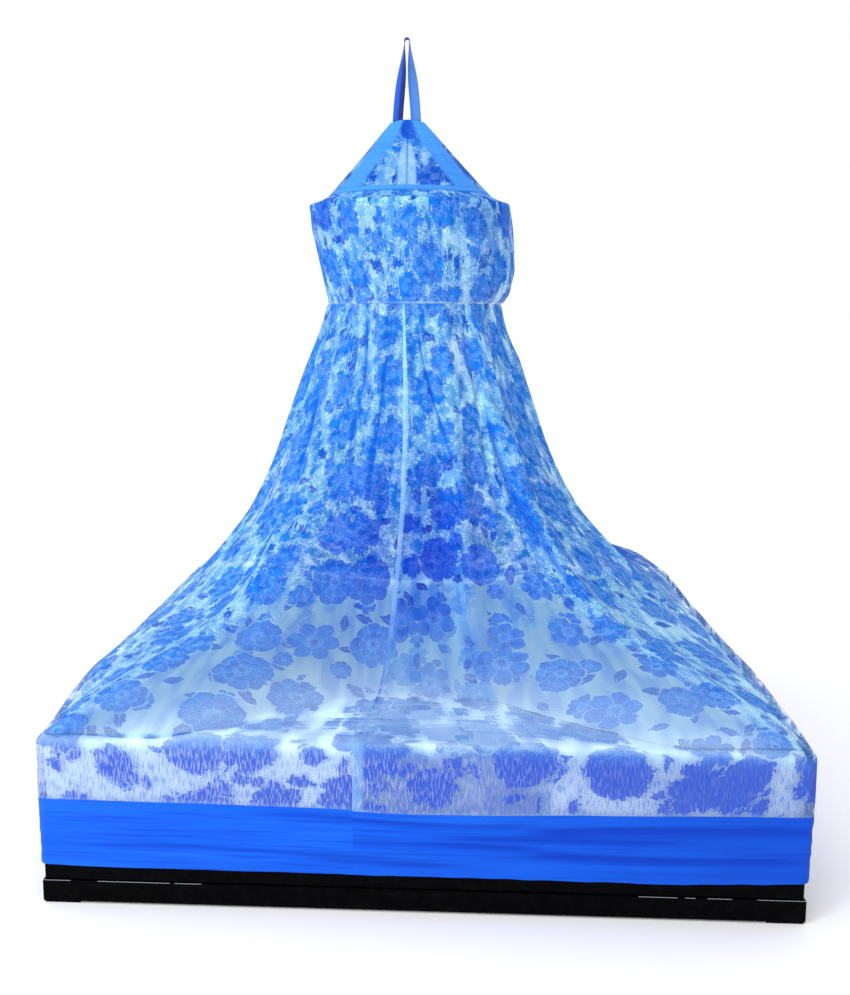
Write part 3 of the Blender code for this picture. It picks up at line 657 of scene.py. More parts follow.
def shiftedAzimuth(bottom, height):
    # near the opening the threads follow its wandering edges, and further round they hang straight
    outer = np.interp(height, opening["height"], opening["outer"])
    inner = np.interp(height, opening["height"], opening["inner"])
    reach = skirt["openingReach"]
    free = (bottom + (outer - outerLow) * bell(bottom - outerLow, reach)
            + (inner - innerLow) * bell(bottom - innerLow + 360.0, reach))
    slope = (inner - outer) / (innerLow - outerLow)
    onInner = outer + slope * (bottom - outerLow)
    onOuter = outer + slope * (bottom + 360.0 - outerLow) - 360.0
    return np.where(bottom >= outerLow, onInner, np.where(bottom <= innerLow - 360.0, onOuter, free))


def layerOffset(bottom, look):
    # the outer edge lies over the inner one
    inner = 1.0 - np.clip((outerLow - bottom) / look["layerTaper"], 0.0, 1.0)
    outer = 1.0 - np.clip((bottom - innerLow + 360.0) / look["layerTaper"], 0.0, 1.0)
    return look["layerApart"] * (outer - inner)


# narrow ridges and creases: heights from the top down, the azimuth at each, half width, and how far out
longPath = (1.40, 1.10, 0.80, 0.60)
pinches = (
    ((1.37, 1.33, 1.26, 1.21), (-34.0, -33.5, -32.6, -32.0), 1.0, -0.008),
    ((1.43, 1.40, 1.21, 1.16, 1.09, 1.02, 0.93), (-31, -29.9, -24.6, -25.4, -26.5, -26.2, -25), 0.9, -0.010),
    ((1.25, 1.16, 1.07, 0.95, 0.84, 0.70, 0.60, 0.50), (22, 37.0, 42.7, 45.5, 47.7, 48.0, 46.5, 45),
     2.0, 0.016),
    ((1.10, 0.95, 0.75, 0.67, 0.57, 0.50), (-45, -43.4, -39.8, -38.7, -40.0, -41.6), 2.0, 0.016),
    ((1.41, 1.34, 1.24, 1.18), (-47.0, -44.6, -38.0, -35.0), 2.2, 0.009),
    ((1.42, 1.30, 1.10, 0.95), (12.0, 19.0, 27.0, 30.0), 1.4, 0.009),
    ((1.37, 1.29, 1.23, 1.18, 1.08, 0.97, 0.88), (4.0, 6.3, 8.9, 11.3, 15.4, 18.9, 20.6), 0.7, -0.008),
    ((1.40, 1.20, 1.00, 0.80), (-12.0, -13.5, -15.0, -16.0), 1.2, -0.007),
    ((1.20, 1.00, 0.80, 0.62), (-52.0, -50.0, -47.0, -45.0), 1.3, -0.009),
    ((1.15, 0.95, 0.75, 0.60), (36.0, 38.5, 41.0, 42.0), 1.2, -0.010),
    ((1.30, 1.10, 0.90, 0.70), (62.0, 66.0, 68.0, 68.0), 1.6, 0.010),
    ((1.35, 1.10, 0.85, 0.65), (-68.0, -72.0, -73.0, -72.0), 1.6, 0.010),
    (longPath, (150, 148, 146, 144), 1.8, 0.012), (longPath, (-148, -146, -143, -141), 1.8, 0.012),
    ((1.42, 1.20, 1.00, 0.80), (176, 175, 176, 178), 1.2, -0.010),
    ((1.40, 1.15, 0.90, 0.70), (108, 112, 115, 117), 1.3, -0.009),
    ((1.40, 1.15, 0.90, 0.70), (-104, -109, -113, -116), 1.3, -0.009),
)


def pinchHeight(azimuth, height):
    # pointed bells round each path, rising and falling away over its first and last stretch
    total = 0.0
    for heights, azimuths, width, out in pinches:
        high, low = heights[0], heights[-1]
        path = smoothCurve(height, heights, azimuths)
        fade = ramp(high - height, 0.0, 0.04) * fall(high - height, (high - low) * 0.7, high - low)
        total = total + out * fade * np.exp(-np.abs(turnFrom(azimuth, path) / width) ** 1.4)
    return total


def footValue(name, x, y):
    nearFoot = np.interp(y + bed["length"] / 2, (0.02, 0.12), (1.0, 0.0))
    return nearFoot * smoothCurve(x, footLine["x"], footLine[name])


def liftAt(azimuth):
    return np.interp(turnFrom(azimuth, 0.0), edgeLift["azimuth"], edgeLift["height"])


def sideWave(azimuth):
    turn = np.radians(azimuth)
    return 0.0016 * np.sin(11 * turn + 0.6) + 0.0012 * np.sin(23 * turn + 2.1)


def skirtSurface(bottom, look):
    # falling: out from the waist to where the cloth lands; lying: on to the mattress's edge; then over the
    # rounded edge and straight down to the border's seam
    layer = layerOffset(bottom, look)[None, :]
    rest = look["rest"] + 2 * np.maximum(layer, 0.0)
    table = sections["height"]
    row = np.linspace(0, len(table) - 1, look["fallingRows"])
    height = np.interp(row, np.arange(len(table)), table)[:, None]
    share = (height[0] - height) / (height[0] - height[-1])
    azimuths = shiftedAzimuth(bottom[None, :], height)
    lift = liftAt(azimuths) * share ** 4
    radius = sectionRadius(azimuths, height)
    radius = radius + (landing(azimuths) - sectionRadius(azimuths, table[-1])) * share ** 3
    pinched = pinchHeight(azimuths, height)
    out = foldHeight(azimuths, share) * ramp(share, -0.005, 0.01)
    out = out + gatherHeight(azimuths, share, look) + pinched
    rise = look["landingRise"] * share ** 3
    axisX = canopy["waistX"] + (canopy["axisX"] - canopy["waistX"]) * share
    z = np.maximum(height + rise * out + layer * 0.8 * share + lift, rest)
    falling = joined(*around(radius + layer + out * (1 - rise), azimuths, axisX), z)
    smooth = joined(*around(radius, azimuths, axisX), height + lift)
    # creases pinched inward are marked for the print's deeper colour: folded cloth and painted crease shade
    foldedAndShaded = np.clip(-pinched / 0.007, 0.0, 1.0) ** 1.5

    azimuth = azimuths[-1:]
    start, edge = landing(azimuth), reachToEdge(azimuth) - bed["edgeRound"]
    lie = np.linspace(0, 1, look["lyingRows"] + 1)[1:, None]
    x, y = around(start + (edge - start) * lie, azimuth, canopy["axisX"])
    folds = (foldHeight(azimuth, 1.0) + gatherHeight(azimuth, 1.0, look)) * 0.6
    streaks = softNoise(x / 0.21 + 40, y / 0.030 + 40, 21)
    streaks = streaks + 0.6 * softNoise(x / 0.11 + 40, y / 0.055 + 40, 22)
    streaks = np.maximum(streaks - 0.1, 0.0) * look["streakDepth"] * ramp(edge - start, 0.02, 0.15)
    lifted = np.maximum(folds, 0.0) * (1 - lie) ** 1.4 + streaks * ramp(lie, 0.0, 0.2) * fall(lie, 0.9, 1.0)
    puff, lift = footValue("puff", x, y), liftAt(azimuth)
    lying = joined(x, y, rest + lifted + puff * lie ** 0.45 + lift)

    edgePuff = puff[-1:] + lift
    turn = np.radians(np.linspace(90, 0, look["edgeRows"] + 1))[1:, None]
    inset = bed["edgeRound"] * (1 - np.cos(turn))
    wave = sideWave(azimuth)
    x, y = around(reachToEdge(azimuth) - inset + layer + wave * np.cos(turn), azimuth, canopy["axisX"])
    z = rest - bed["edgeRound"] * (1 - np.sin(turn))
    rounding = joined(x, y, z + edgePuff * np.interp(turn, (0, np.pi / 4, np.pi / 2), (0.4, 0.85, 1)))

    down = np.linspace(0, 1, look["sideRows"] + 1)[1:, None]
    top, low, middle = rest - bed["edgeRound"], look["seamHeight"] + look["seamGap"], look["sideMiddle"]
    z = top + (low - top) * down
    cloth = lengthAt(azimuth) / outlineLength
    leftFront = ramp(-np.cos(np.radians(azimuth)), -1.0, -0.2) * 0.6 + ramp(x[-1:], 0.5, -0.3) * 0.5 + 0.35
    crinkle = softNoise(cloth * 600, z / 0.05, 31, 600) + 0.9 * softNoise(cloth * 260, z / 0.11, 32, 260)
    crinkle = crinkle * look["crinkleDepth"] * leftFront * ramp(down, 0.0, 0.25) * fall(down, 0.86, 1.0)
    x, y = around(reachToEdge(azimuth) + layer + wave + crinkle, azimuth, canopy["axisX"])
    z = z + edgePuff * 0.4 * np.clip((z - middle) / (top - middle), 0, 1)
    z = z - footValue("seam", x, y) * np.clip((middle - z) / (middle - low), 0, 1)
    rows = look["lyingRows"] + look["edgeRows"] + look["sideRows"]
    points = np.concatenate([falling, lying, rounding, joined(x, y, z)])
    smooth = np.concatenate([smooth, points[-rows:]])
    azimuths = np.concatenate([azimuths, np.repeat(azimuth, rows, axis=0)])
    shares = np.concatenate([share, np.ones((rows, 1))])
    foldedAndShaded = np.concatenate([foldedAndShaded, np.zeros((rows, len(bottom)))])
    return points, smooth, azimuths, shares, foldedAndShaded


def skirtPrint(bottom, azimuth, shares, run, look):
    # the cloth is laid out flat as a fan round the front, in two halves that meet at the back
    right = bottom[None, :] < -180.0
    turned = lengthAt(azimuth) / outlineLength * 2 * np.pi
    turned = np.where(right, turned + 2 * np.pi, turned) * (0.50 + 0.20 * (1 - shares) ** 2)
    fan = look["fanStart"] + run
    shiftU, shiftV = (np.where(right, shift, 0.0) for shift in look["secondHalf"])
    return joined(fan * np.sin(turned) + shiftU, -fan * np.cos(turned) + shiftV)


def makeSkirt(look):
    lengths = np.linspace(lengthAt(outerLow - 360.0), lengthAt(innerLow), look["columns"])
    bottom = azimuthAt(lengths)
    points, smooth, azimuth, shares, foldedAndShaded = skirtSurface(bottom, look)
    rows, falling = len(points), look["fallingRows"]
    run = pathLength(smooth)
    down = run[-1:] - run
    firstHanging = rows - look["sideRows"]
    hanging = ramp(np.arange(rows), firstHanging - look["edgeRows"], firstHanging + 2)[:, None]
    fromOuter, fromInner = (lengths - lengths[0])[None, :], (lengths[-1] - lengths)[None, :]
    toEdge = np.minimum(fromOuter, fromInner)
    # the hems of the front edges, the seam at the back and the turning above the border; where the front edge
    # lies, an uneven dark line runs along it: its stitching and the edge's painted shadow
    shrink = np.interp(shares, (0.0, 0.1, 0.3, 0.45, 0.6, 1.0), (0.45, 0.32, 0.34, 0.62, 0.75, 1.0))
    hemsAndShading = fall(toEdge * shrink, look["hemWidth"] - 0.004, look["hemWidth"])
    hemsAndShading = hemsAndShading * (0.85 - 0.6 * (ramp(shares, 0.70, 0.95) * (1 - hanging)))
    seam = fall(np.abs(lengths - lengthAt(-180.0))[None, :], look["backSeam"], look["backSeam"] + 0.005)
    hemsAndShading = np.maximum(np.maximum(hemsAndShading, seam), 0.25 - 0.25 * ramp(down, 0.006, 0.009))
    wander = 0.004 * softNoise(run * 28, 0 * run, 81)
    stitchesAndShade = bell(fromOuter * shrink - look["stitchInset"] - wander, look["stitchWidth"])
    stitchesAndShade = stitchesAndShade * ramp(shares, 0.8, 0.95) * (1 - 0.7 * hanging)
    stitchesAndShade = stitchesAndShade * np.clip(0.9 + 1.4 * softNoise(run * 16, 0 * run, 82), 0, 1)
    # the lying cloth is streaked, but not at its two ends nor where it is narrow
    lie = np.clip((np.arange(rows) - falling + 1) / look["lyingRows"], 0, 1)[:, None]
    room = (run[falling + look["lyingRows"] - 1] - run[falling - 1])[None, :]
    streaked = ramp(lie, 0.0, 0.2) * fall(lie, 0.85, 1.0) * ramp(room, 0.03, 0.2)
    # the fullness: how much longer the gathered cloth is than the smooth surface it follows
    full = stepLengths(points, 1) / stepLengths(smooth, 1)
    full = np.concatenate([full, full[:, -1:]], axis=1)
    # at the head of the bed the gathers lie closest, and the two front edges lie over each other
    bunched = ramp(np.abs(turnFrom(azimuth, 0.0)), 95.0, 150.0)
    bunched = bunched * ramp(shares, 0.1, 0.6) * fall(shares, 0.93, 1)
    lap = lengthAt(innerLow) - lengthAt(outerLow)
    twofold = fall(toEdge, lap * 0.9, lap * 1.1)
    gathered = full * (1 + 1.1 * (1 - shares) ** 0.8 + 2.4 * bunched) - 1
    gathered = gathered - (0.45 + 0.22 * twofold * (1 - hanging)) * ramp(shares, 0.64, 0.97) + 0.9 * hanging
    # the print also looks deepest low on the front, where both sides of the net lie in one line; the tint
    # there is painted shade for the shaded far wall behind
    doubled = bell(points[:, :, 2] - 0.78, 0.24) * bell(turnFrom(azimuth, 3.0), 30.0)
    doubled = doubled * fall(shares, 0.85, 1.0)
    # outside the folds that run down to the front corners the cloth lies in close, steep gathers
    turnedAway = np.abs(turnFrom(azimuth, 1.5))
    inward = 35.0 + 6.0 * ramp(shares, 0.6, 1.0)
    winged = ramp(turnedAway, inward - 2.0, inward + 3.0) * fall(turnedAway, 80.0, 100.0)
    winged = winged * ramp(shares, 0.45, 0.75) * fall(lie, 0.0, 0.6) * (1 - hanging)
    # a slight painted shade along the line where the falling cloth lands
    landed = 0.12 * ramp(shares, 0.75, 0.95) * fall(lie, 0.0, 0.3) * (1 - winged)
    # to the right of the foot the hanging cloth is smoother, and where it sags soft level bands of painted
    # shade lie on it
    toRight = ramp(points[-1:, :, 0], -0.5, 0.9) * hanging
    sagShade = softNoise(lengths[None, :] * 5 + 100, run / 0.016, 83) * 0.7
    sagShade = sagShade + softNoise(lengths[None, :] * 2 + 100, run / 0.034, 84)
    sagShade = 0.34 * np.clip(sagShade, 0, 1) * toRight
    # the print's deepening tint: the close gathers at the head, and painted shade there, low on the front, on
    # the hanging sides and along the landing line
    closeAndShaded = np.maximum(np.maximum(bunched, doubled), np.maximum(0.55 * hanging, landed))
    marks = {"gathered": gathered + 0.6 * toRight + 1.1 * winged, "hemsAndShading": hemsAndShading, "crinkled": hanging,
             "smoothed": 0.8 * toRight, "streaked": streaked, "closeAndShaded": closeAndShaded, "along": lengths, "down": run,
             "foldedAndShaded": np.clip(np.maximum(foldedAndShaded + 1.5 * stitchesAndShade, sagShade), 0, 1)}
    return makeSheet("skirt", points, skirtPrint(bottom, azimuth, shares, run, look), marks=marks)


skirtPiece = finishPiece(makeSkirt(skirt), printedNet, "printed_net", "skirt_net")
print("skirt made")


border = {
    "columns": 1100, "rows": 26, "hemHeight": 0.1015, "lean": 0.0035, "foldDepth": 0.0030,
    # long folds along the foot of the bed: start x, end x, height at each end, half width, depth
    "folds": ((-0.83, -0.02, 0.156, 0.150, 0.006, 0.0035), (-0.42, 0.30, 0.246, 0.236, 0.008, 0.0030),
              (-0.20, 0.28, 0.186, 0.180, 0.007, 0.0040), (-0.25, 0.08, 0.139, 0.131, 0.005, 0.0035),
              (0.30, 0.90, 0.226, 0.234, 0.010, 0.0040), (0.28, 0.90, 0.162, 0.152, 0.009, 0.0040),
              (0.05, 0.60, 0.205, 0.199, 0.006, 0.0025)),
    "flat": (7.58, 0.19),
}


def borderFolds(x, y, z, cloth, look):
    # long, nearly level furrows: random ones all round and the tabled ones along the foot
    out = softNoise(cloth * 17, z / 0.017, 41, 17) * 0.6 + softNoise(cloth * 40, z / 0.030, 42, 40) * 0.5
    out = out * look["foldDepth"] * 0.8
    onFoot = ramp(-y, 0.93, 0.97)
    for startX, endX, startZ, endZ, width, depth in look["folds"]:
        share = np.clip((x - startX) / (endX - startX), 0, 1)
        level = startZ + (endZ - startZ) * share + 0.003 * np.sin(x * 9 + startZ * 40)
        ends = ramp(x, startX - 0.08, startX + 0.10) * fall(x, endX - 0.10, endX + 0.08)
        out = out - 1.4 * depth * bell(z - level, width) * ends * onFoot
    return out


def makeBorder(look):
    # the outline carried down from the seam to the hem, leaning in a little
    lengths = np.linspace(lengthAt(outerLow - 360.0), lengthAt(outerLow), look["columns"] + 1)[:-1]
    azimuth = azimuthAt(lengths)[None, :]
    top = skirt["seamHeight"] - skirt["seamGap"]
    share = np.linspace(0, 1, look["rows"])[:, None]
    z = top + (look["hemHeight"] - top) * share
    x, y = around(reachToEdge(azimuth), azimuth, canopy["axisX"])
    out = borderFolds(x, y, z, lengths[None, :] / outlineLength, look) * ramp(share, 0.0, 0.12)
    hem = 0.0012 * bell(share - 0.93, 0.02)
    layer = layerOffset(azimuth, skirt) * fall(share, 0.0, 0.25)
    radius = reachToEdge(azimuth) + layer + sideWave(azimuth) * (1 - share) - look["lean"] * share + out + hem
    x, y = around(radius, azimuth, canopy["axisX"])
    z = z - footValue("seam", x, y) * (1 - share) - footValue("hem", x, y) * share
    z = z + 0.0012 * softNoise(lengths[None, :] * 22, share * 0, 43, 4096) * ramp(share, 0.9, 1.0)
    run = np.append(lengths, lengths[0] + outlineLength)
    # stitch lines near the seam and the hem, painted shade in the furrows, and painted shade growing toward
    # the right end of the foot
    stitchesAndShade = bell(share - 0.90, 0.012) + bell(share - 0.02, 0.010) + 1.2 * np.clip(-out / 0.004, 0.0, 1.0)
    stitchesAndShade = stitchesAndShade + 0.9 * ramp(x, -0.3, 0.9) * ramp(-y, 0.5, 0.9)
    return makeSheet("border", joined(x, y, z), joined(run[None, :], z[:, :1]), closed=True,
                     marks={"hemsAndShading": np.clip(stitchesAndShade, 0, 1.6)})


borderPiece = finishPiece(makeBorder(border), solidCloth, "solid_cloth", "skirt_border")
print("border made")


valance = {
    "columns": 720, "slopeRows": 9, "roundRows": 6, "dropRows": 43,
    "hoopHeight": 1.7225, "hoopRadius": 0.2925, "wire": 0.0035, "wireClear": 0.00165,
    "bandRadius": 0.2405, "bandHeight": 1.7515, "bandGap": 0.001, "gathers": 96, "gatherDepth": 0.0035,
    # heights down from the hoop, the radius at each to the left and right, and how far its folds stand out
    "heights": (1.6500, 1.5700, 1.5000, 1.4550, 1.4396),
    "left": (0.291, 0.277, 0.265, 0.257, 0.2545), "right": (0.300, 0.302, 0.293, 0.275, 0.2595),
    "share": (0.7, 1.0, 0.9, 0.4, 0.0),
    "folds": ((-68, 9, .009), (-30, 8, .006), (4, 8, .010), (41, 9, .007), (72, 8, .008), (110, 10, .010),
              (150, 8, .007), (184, 10, .010), (222, 8, .007), (257, 9, .009)),
    "flat": (1.95, 0.36),
}


def makeValance(look):
    # a turned profile: from the band out over the hoop, then down to the waist, with folds and gathers added
    # to its radius
    wide = np.linspace(-180, 180, look["columns"] + 1)[None, :]
    azimuth, gathers = wide[:, :-1], look["gathers"]
    cloth = (azimuth + 180) / 360
    stand, gap = look["wire"] + look["wireClear"], look["bandGap"]
    slope = np.linspace(0, 1, look["slopeRows"])[:, None]
    topRadius = look["bandRadius"] + gap + (look["hoopRadius"] - look["bandRadius"] - gap) * slope
    topHeight = look["bandHeight"] - gap + (look["hoopHeight"] + stand - look["bandHeight"] + gap) * slope
    topHeight = topHeight - 0.002 * np.sin(np.pi * slope)
    ruffle = softNoise(cloth * gathers, slope * 1.5, 51, gathers)
    topHeight = topHeight + 0.0016 * ruffle * np.sin(np.pi * slope)
    turn = np.radians(np.linspace(75, 0, look["roundRows"]))[:, None]
    roundRadius = look["hoopRadius"] + stand * np.cos(turn)
    roundHeight = look["hoopHeight"] + stand * np.sin(turn)
    drop = np.linspace(0, 1, look["dropRows"] + 1)[1:, None]
    height = look["hoopHeight"] + (look["heights"][-1] - look["hoopHeight"]) * drop
    left, right, share = (smoothCurve(height, (look["hoopHeight"], *look["heights"]), (first, *look[name]))
                          for name, first in (("left", look["hoopRadius"] + stand),
                                              ("right", look["hoopRadius"] + stand), ("share", 0.0)))
    folds = sum(out * bell(turnFrom(azimuth, centre), width) for centre, width, out in look["folds"])
    pleats = softNoise(cloth * gathers, drop * 3, 51, gathers)
    pleats = pleats + 0.7 * softNoise(cloth * gathers / 2, drop * 2, 52, gathers // 2)
    pleats = pleats * look["gatherDepth"] * ramp(drop, 0.0, 0.25) * (1 - 0.75 * ramp(drop, 0.9, 1.0))
    radius = (left + right) / 2 + (right - left) / 2 * np.sin(np.radians(azimuth)) + folds * share + pleats
    radius = radius + 0.004 * bell(drop - 0.985, 0.02)
    axisX = np.interp(drop, (0, 1), (canopy["hoopX"], canopy["waistX"]))
    points = np.concatenate([joined(*around(partRadius, azimuth, partAxis), partHeight)
                             for partRadius, partHeight, partAxis in (
                                 (topRadius, topHeight, canopy["hoopX"]),
                                 (roundRadius, roundHeight, canopy["hoopX"]), (radius, height, axisX))])
    run = pathLength(points).mean(axis=1, keepdims=True)
    u = np.radians(wide) * 0.40 + 9.1
    # the pale hem at the waist is kept only round azimuth 12, where the light falls: a painted highlight
    lit = 0.25 + 0.75 * bell(turnFrom(azimuth, 12.0), 14.0)
    behind = turnFrom(azimuth, 180.0)
    # the far side and the upper sides take the print's deepening tint: painted shade
    sides = bell(np.abs(turnFrom(azimuth, 0.0)) - 58.0, 22.0) * fall(run, 0.1, 0.22)
    marks = {"gathered": 1.3 + 1.6 * fall(run, 0.060, 0.085), "along": u[:, :-1], "down": run,
             "hemsAndShading": np.maximum(fall(run[-1] - run, 0.005, 0.008) * lit, bell(behind, 2.0)),
             "closeAndShaded": np.maximum(0.8 * bell(behind, 80.0), 0.6 * sides)}
    return makeSheet("valance", points, joined(u, -run), closed=True, marks=marks)


valancePiece = finishPiece(makeValance(valance), printedNet, "printed_net", "valance_net")
print("valance made")


crown = {
    "apexHeight": 1.966, "halfLength": 0.049, "halfDepth": 0.0026, "bandWidth": 0.020, "roundFrom": 0.33,
    # a seam's azimuth at the apex and at the band, and how far it is hollowed between them
    "inner": (3.0, 36.0, -8.0), "outer": (75.0, 61.0, 8.0),
    "rows": 40, "puckers": 0.0016, "piping": 0.0009, "stripWidth": 0.025, "peak": 0.009,
    "bandColumns": 480, "bandRows": 9, "bandProud": 0.0012, "bandFlat": (1.51, 0.022),
}
slant = math.hypot(crown["apexHeight"] - valance["bandHeight"], valance["bandRadius"] - crown["halfLength"])


def crownSurface(azimuth, share, look):
    # between the flat closed top, share 0, and the round foot of the band, share 1
    turn = np.radians(azimuth)
    roundness = np.interp(share, (0.0, look["roundFrom"]), (0.5, 1.0))
    across = np.sign(np.sin(turn)) * np.abs(np.sin(turn)) ** roundness
    along = -np.sign(np.cos(turn)) * np.abs(np.cos(turn)) ** roundness
    halfLength = look["halfLength"] + (valance["bandRadius"] - look["halfLength"]) * share
    halfDepth = look["halfDepth"] + (valance["bandRadius"] - look["halfDepth"]) * share
    x = canopy["apexX"] + (canopy["hoopX"] - canopy["apexX"]) * share + halfLength * across
    z = look["apexHeight"] + (valance["bandHeight"] - look["apexHeight"]) * share
    return joined(x, halfDepth * along, z)


def crownSeam(sizes, side, back=False, turns=0):
    top, base, hollow = sizes
    if back:
        top, base, hollow = 180.0 - top, 180.0 - base, -hollow
    return side * top + 360.0 * turns, side * base + 360.0 * turns, side * hollow


def makeGore(name, leftSeam, rightSeam, material, slotName, node, strips=False):
    # the crown's surface between two seams, moved out by puckers that run down from the top and by a raised
    # seam at each side
    down = np.linspace(0, 1, crown["rows"])[:, None]
    left, right = (top + (base - top) * down - hollow * 4 * down * (1 - down)
                   for top, base, hollow in (leftSeam, rightSeam))
    columns = max(36, int(max(rightSeam[1] - leftSeam[1], rightSeam[0] - leftSeam[0]) * 1.1))
    t = np.linspace(0, 1, columns)[None, :]
    azimuth = left + (right - left) * t
    share = down * (1.0 - crown["bandWidth"] / slant) + 0 * t
    points = crownSurface(azimuth, share, crown)
    centre = points.mean(axis=1, keepdims=True) * (0, 0, 1) + np.array((canopy["hoopX"], 0, 0)) - (0, 0, 0.12)
    away = points - centre
    away = away / np.linalg.norm(away, axis=-1, keepdims=True)
    puckers = softNoise(azimuth / 5.5 + 100, share * 2, 61, 256)
    puckers = puckers * crown["puckers"] * np.sin(np.pi * down) ** 0.6
    piping = crown["piping"] * (bell(t, 0.03) + bell(t - 1, 0.03))
    points = points + away * (puckers + piping)[..., None]
    beside = (points[..., 0] - canopy["apexX"]) / crown["halfLength"]
    points[..., 2] += crown["peak"] * np.clip(1 - beside ** 2, 0, 1) * fall(down, 0.0, 0.16)
    across = np.concatenate([np.zeros((crown["rows"], 1)), np.cumsum(stepLengths(points, 1), axis=1)], axis=1)
    fromMiddle = across - across[:, -1:] / 2
    hemsAndShading = 0.35 * (bell(across - 0.003, 0.0016) + bell(across - across[:, -1:] + 0.003, 0.0016))
    foldedAndShaded = 0 * fromMiddle
    if strips:  # two plain strips on both sides of the front seam, from under its closed top
        wide = crown["stripWidth"] * ramp(down, 0.05, 0.7)
        hemsAndShading = hemsAndShading + fall(np.abs(fromMiddle), wide, wide + 0.003) * ramp(down, 0.28, 0.42)
        # the fold-and-shade mark deepens the top and draws dark lines along the seam and the strips' edges
        foldedAndShaded = 0.7 * fall(down, 0.0, 0.45) + bell(fromMiddle, 0.0028)
        foldedAndShaded = foldedAndShaded + 0.35 * bell(np.abs(fromMiddle) - wide, 0.003)
    # every gore takes the print's deepening tint, painted shade, deeper on the back ones
    marks = {"gathered": 2.1 + 1.6 * fall(down, 0.0, 0.5), "hemsAndShading": 0.85 * np.clip(hemsAndShading, 0, 1),
             "foldedAndShaded": np.clip(foldedAndShaded, 0, 1), "closeAndShaded": 0.7 if "back" in name else 0.5, "along": fromMiddle,
             "down": share * slant}
    uv = joined(fromMiddle + leftSeam[1] * 0.03, -share * slant + 5.3)
    piece = makeSheet(name, points, uv, marks=marks)
    finishPiece(piece, material, slotName, node)


inner, outer = crown["inner"], crown["outer"]
for name, leftSeam, rightSeam in (
        ("crown_cloth_front_right", crownSeam(inner, 1), crownSeam(outer, 1)),
        ("crown_cloth_front_left", crownSeam(outer, -1), crownSeam(inner, -1)),
        ("crown_cloth_back_right", crownSeam(outer, 1, True), crownSeam(inner, 1, True)),
        ("crown_cloth_back_left", crownSeam(inner, -1, True), crownSeam(outer, -1, True))):
    makeGore(name.replace("cloth", "gore"), leftSeam, rightSeam, litCrownCloth, "solid_cloth", name)
for name, leftSeam, rightSeam in (
        ("crown_net_front", crownSeam(inner, -1), crownSeam(inner, 1)),
        ("crown_net_right", crownSeam(outer, 1), crownSeam(outer, 1, True)),
        ("crown_net_left", crownSeam(outer, -1, True), crownSeam(outer, -1)),
        ("crown_net_back", crownSeam(inner, 1, True), crownSeam(inner, -1, True, 1))):
    makeGore(name.replace("net", "panel"), leftSeam, rightSeam, printedNet, "printed_net", name,
             strips="front" in name)


def makeBand():
    # the crown's lowest strip, standing a little proud, with a stitch line near its top edge and a painted
    # shadow along its foot
    wide = np.linspace(-180, 180, crown["bandColumns"] + 1)[None, :]
    azimuth = wide[:, :-1]
    t = np.linspace(0, 1, crown["bandRows"])[:, None]
    share = 1.0 - crown["bandWidth"] / slant * (1 - t)
    points = crownSurface(azimuth, share + 0 * azimuth, crown)
    points[..., 2] += crown["bandProud"] * np.sin(np.pi * t) ** 0.5
    points[..., 2] += 0.0004 * softNoise((azimuth + 180) / 3, t, 71, 120)
    uv = joined(np.radians(wide) * valance["bandRadius"], t * crown["bandWidth"])
    marks = {"hemsAndShading": 0.5 * bell(t - 0.12, 0.07) + 1.6 * bell(t - 1.0, 0.16)}
    return makeSheet("crown_band_cloth", points, uv, closed=True, marks=marks)


bandPiece = finishPiece(makeBand(), litCrownCloth, "solid_cloth", "crown_band")
print("crown made")


tape = {"width": 0.030, "thick": 0.0016, "top": 2.203, "fold": 0.0075, "spread": 0.0265, "lean": -0.002,
        "tuck": 0.012, "straight": 0.08, "legRows": 47, "foldRows": 17, "columns": 9, "flat": (0.030, 0.53)}


def makeTape(look):
    # up one leg, half a circle over the top and down the other leg, each leg turning a quarter
    start, fold, legRows = crown["apexHeight"] - look["tuck"], look["top"] - look["fold"], look["legRows"]
    leg = np.linspace(0, 1, legRows + 1)[:-1]
    turned = np.maximum(leg - look["straight"], 0) / (1 - look["straight"])
    turned = turned * turned * (3 - 2 * turned) * 0.5 + turned * 0.5
    spread = look["spread"] + (look["fold"] - look["spread"]) * turned
    height = start + (fold - start) * leg
    arc = np.linspace(np.pi, 0, look["foldRows"])
    across = np.concatenate([-spread, look["fold"] * np.cos(arc), spread[::-1]])
    up = np.concatenate([height, fold + look["fold"] * np.sin(arc), height[::-1]])
    quarter = np.pi / 2
    twist = quarter * turned ** 1.8
    turn = np.concatenate([twist, np.full(look["foldRows"], quarter), 2 * quarter - twist[::-1]])[:, None]
    half = np.linspace(0.5, -0.5, look["columns"])[None, :] * look["width"]
    x = canopy["apexX"] + look["lean"] + across[:, None] + half * np.cos(turn)
    points = joined(x, -half * np.sin(turn), up[:, None])
    run = pathLength(points).mean(axis=1, keepdims=True)
    # dark where it enters the crown, painted shade on the shaded half of the left leg, and painted light
    # making the right leg pale
    row = np.arange(len(up))[:, None]
    foot = fall(up - crown["apexHeight"], 0.004, 0.010)[:, None] * 0.9
    inShade = ramp(half, -0.002, 0.002) * (row < legRows) * 0.9
    paleLit = (row > len(up) - legRows - 2) * (0.75 - 0.5 * ramp(half, 0.004, 0.012))
    marks = {"hemsAndShading": np.maximum(foot, inShade), "paleLit": paleLit}
    return makeSheet("tape", points, joined(half, run), marks=marks)


tapePiece = finishPiece(makeTape(tape), webbing, "solid_cloth", "hanging_tape")
shell = tapePiece.modifiers.new("webbing", "SOLIDIFY")
shell.thickness, shell.offset = tape["thick"], 0.0
print("tape made")


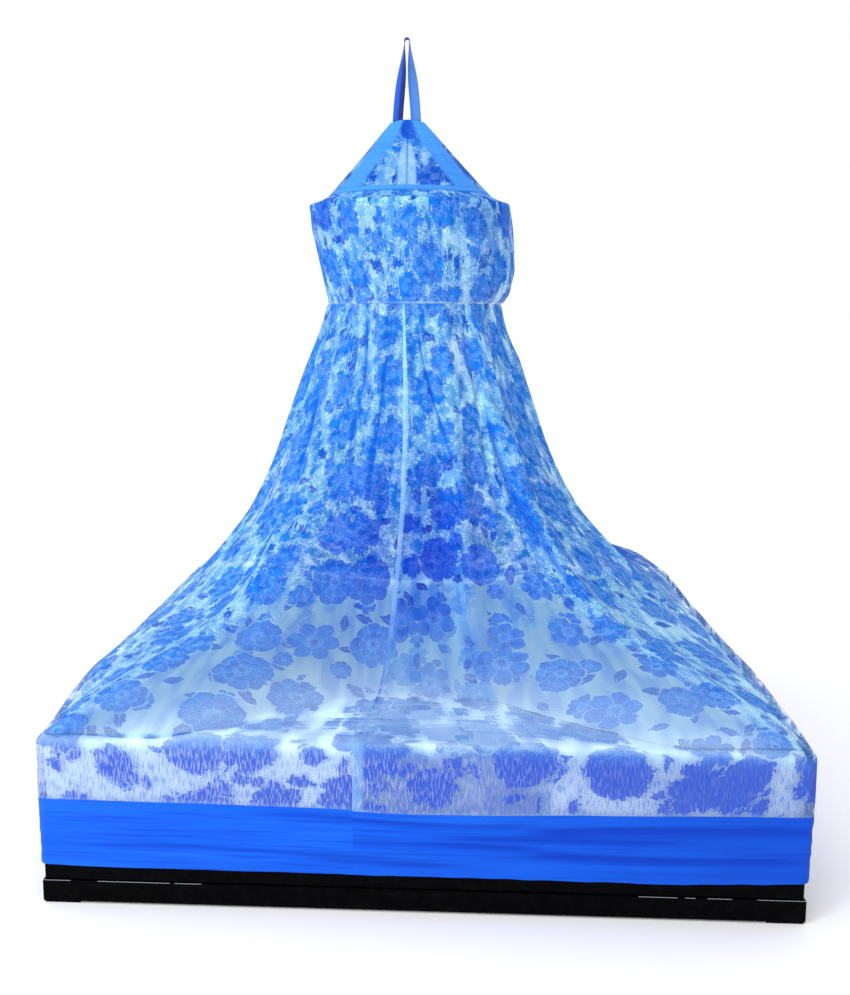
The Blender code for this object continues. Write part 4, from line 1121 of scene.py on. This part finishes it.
studio = {
    "camera": (0.0697, -3.5995, 1.4194), "turn": (math.pi / 2 - 0.1575, 0.0, 0.0589), "sensor": 24.0,
    "focus": 1177.16, "pictureWidth": 850, "pictureHeight": 995, "centreX": 381.97,
    "key": (-3.0, -4.0, 1.9), "keyPower": 110.0, "keySize": 1.6, "keyAim": (0.0, 0.0, 0.9),
    "sunTurn": (0.62, 0.0, -0.55), "sun": 0.45, "sunWidth": 0.5, "sky": 1.0, "floor": (0.95, 0.95, 0.96, 1),
}


def makeFloor(look):
    mesh = bpy.data.meshes.new("floor")
    mesh.from_pydata([(-60, -60, 0), (60, -60, 0), (60, 60, 0), (-60, 60, 0)], [], [(0, 1, 2, 3)])
    surface = NodeSurface("pale floor", 0.9, 0.1)
    surface.put("Base Color", look["floor"])
    mesh.materials.append(surface.material)
    addObject("floor", mesh)


def makeLights(look):
    # a soft key at the left, and a broad light over everything, so that the floor stays white to its end
    light = bpy.data.lights.new("key", "AREA")
    light.energy, light.size = look["keyPower"], look["keySize"]
    key = addObject("key", light)
    key.location = look["key"]
    toward = np.array(look["keyAim"]) - np.array(look["key"])
    flat = math.hypot(toward[0], toward[1])
    key.rotation_euler = (math.atan2(flat, -toward[2]), 0.0, math.atan2(-toward[0], toward[1]))
    light = bpy.data.lights.new("broad light", "SUN")
    light.energy, light.angle = look["sun"], look["sunWidth"]
    addObject("broad light", light).rotation_euler = look["sunTurn"]


def makeCamera(look):
    camera = bpy.data.cameras.new("camera")
    camera.sensor_fit, camera.sensor_height = "VERTICAL", look["sensor"]
    camera.lens = look["sensor"] * look["focus"] / look["pictureHeight"]
    camera.shift_x = (look["pictureWidth"] / 2 - look["centreX"]) / look["pictureHeight"]
    eye = addObject("camera", camera)
    eye.location, eye.rotation_euler = look["camera"], look["turn"]
    bpy.context.scene.camera = eye


makeFloor(studio)
makeLights(studio)
makeCamera(studio)
world = bpy.data.worlds.new("sky")
world.use_nodes = True
world.node_tree.nodes["Background"].inputs[0].default_value = (1, 1, 1, 1)
world.node_tree.nodes["Background"].inputs[1].default_value = studio["sky"]
bpy.context.scene.world = world
bpy.context.scene.view_settings.view_transform = "Standard"
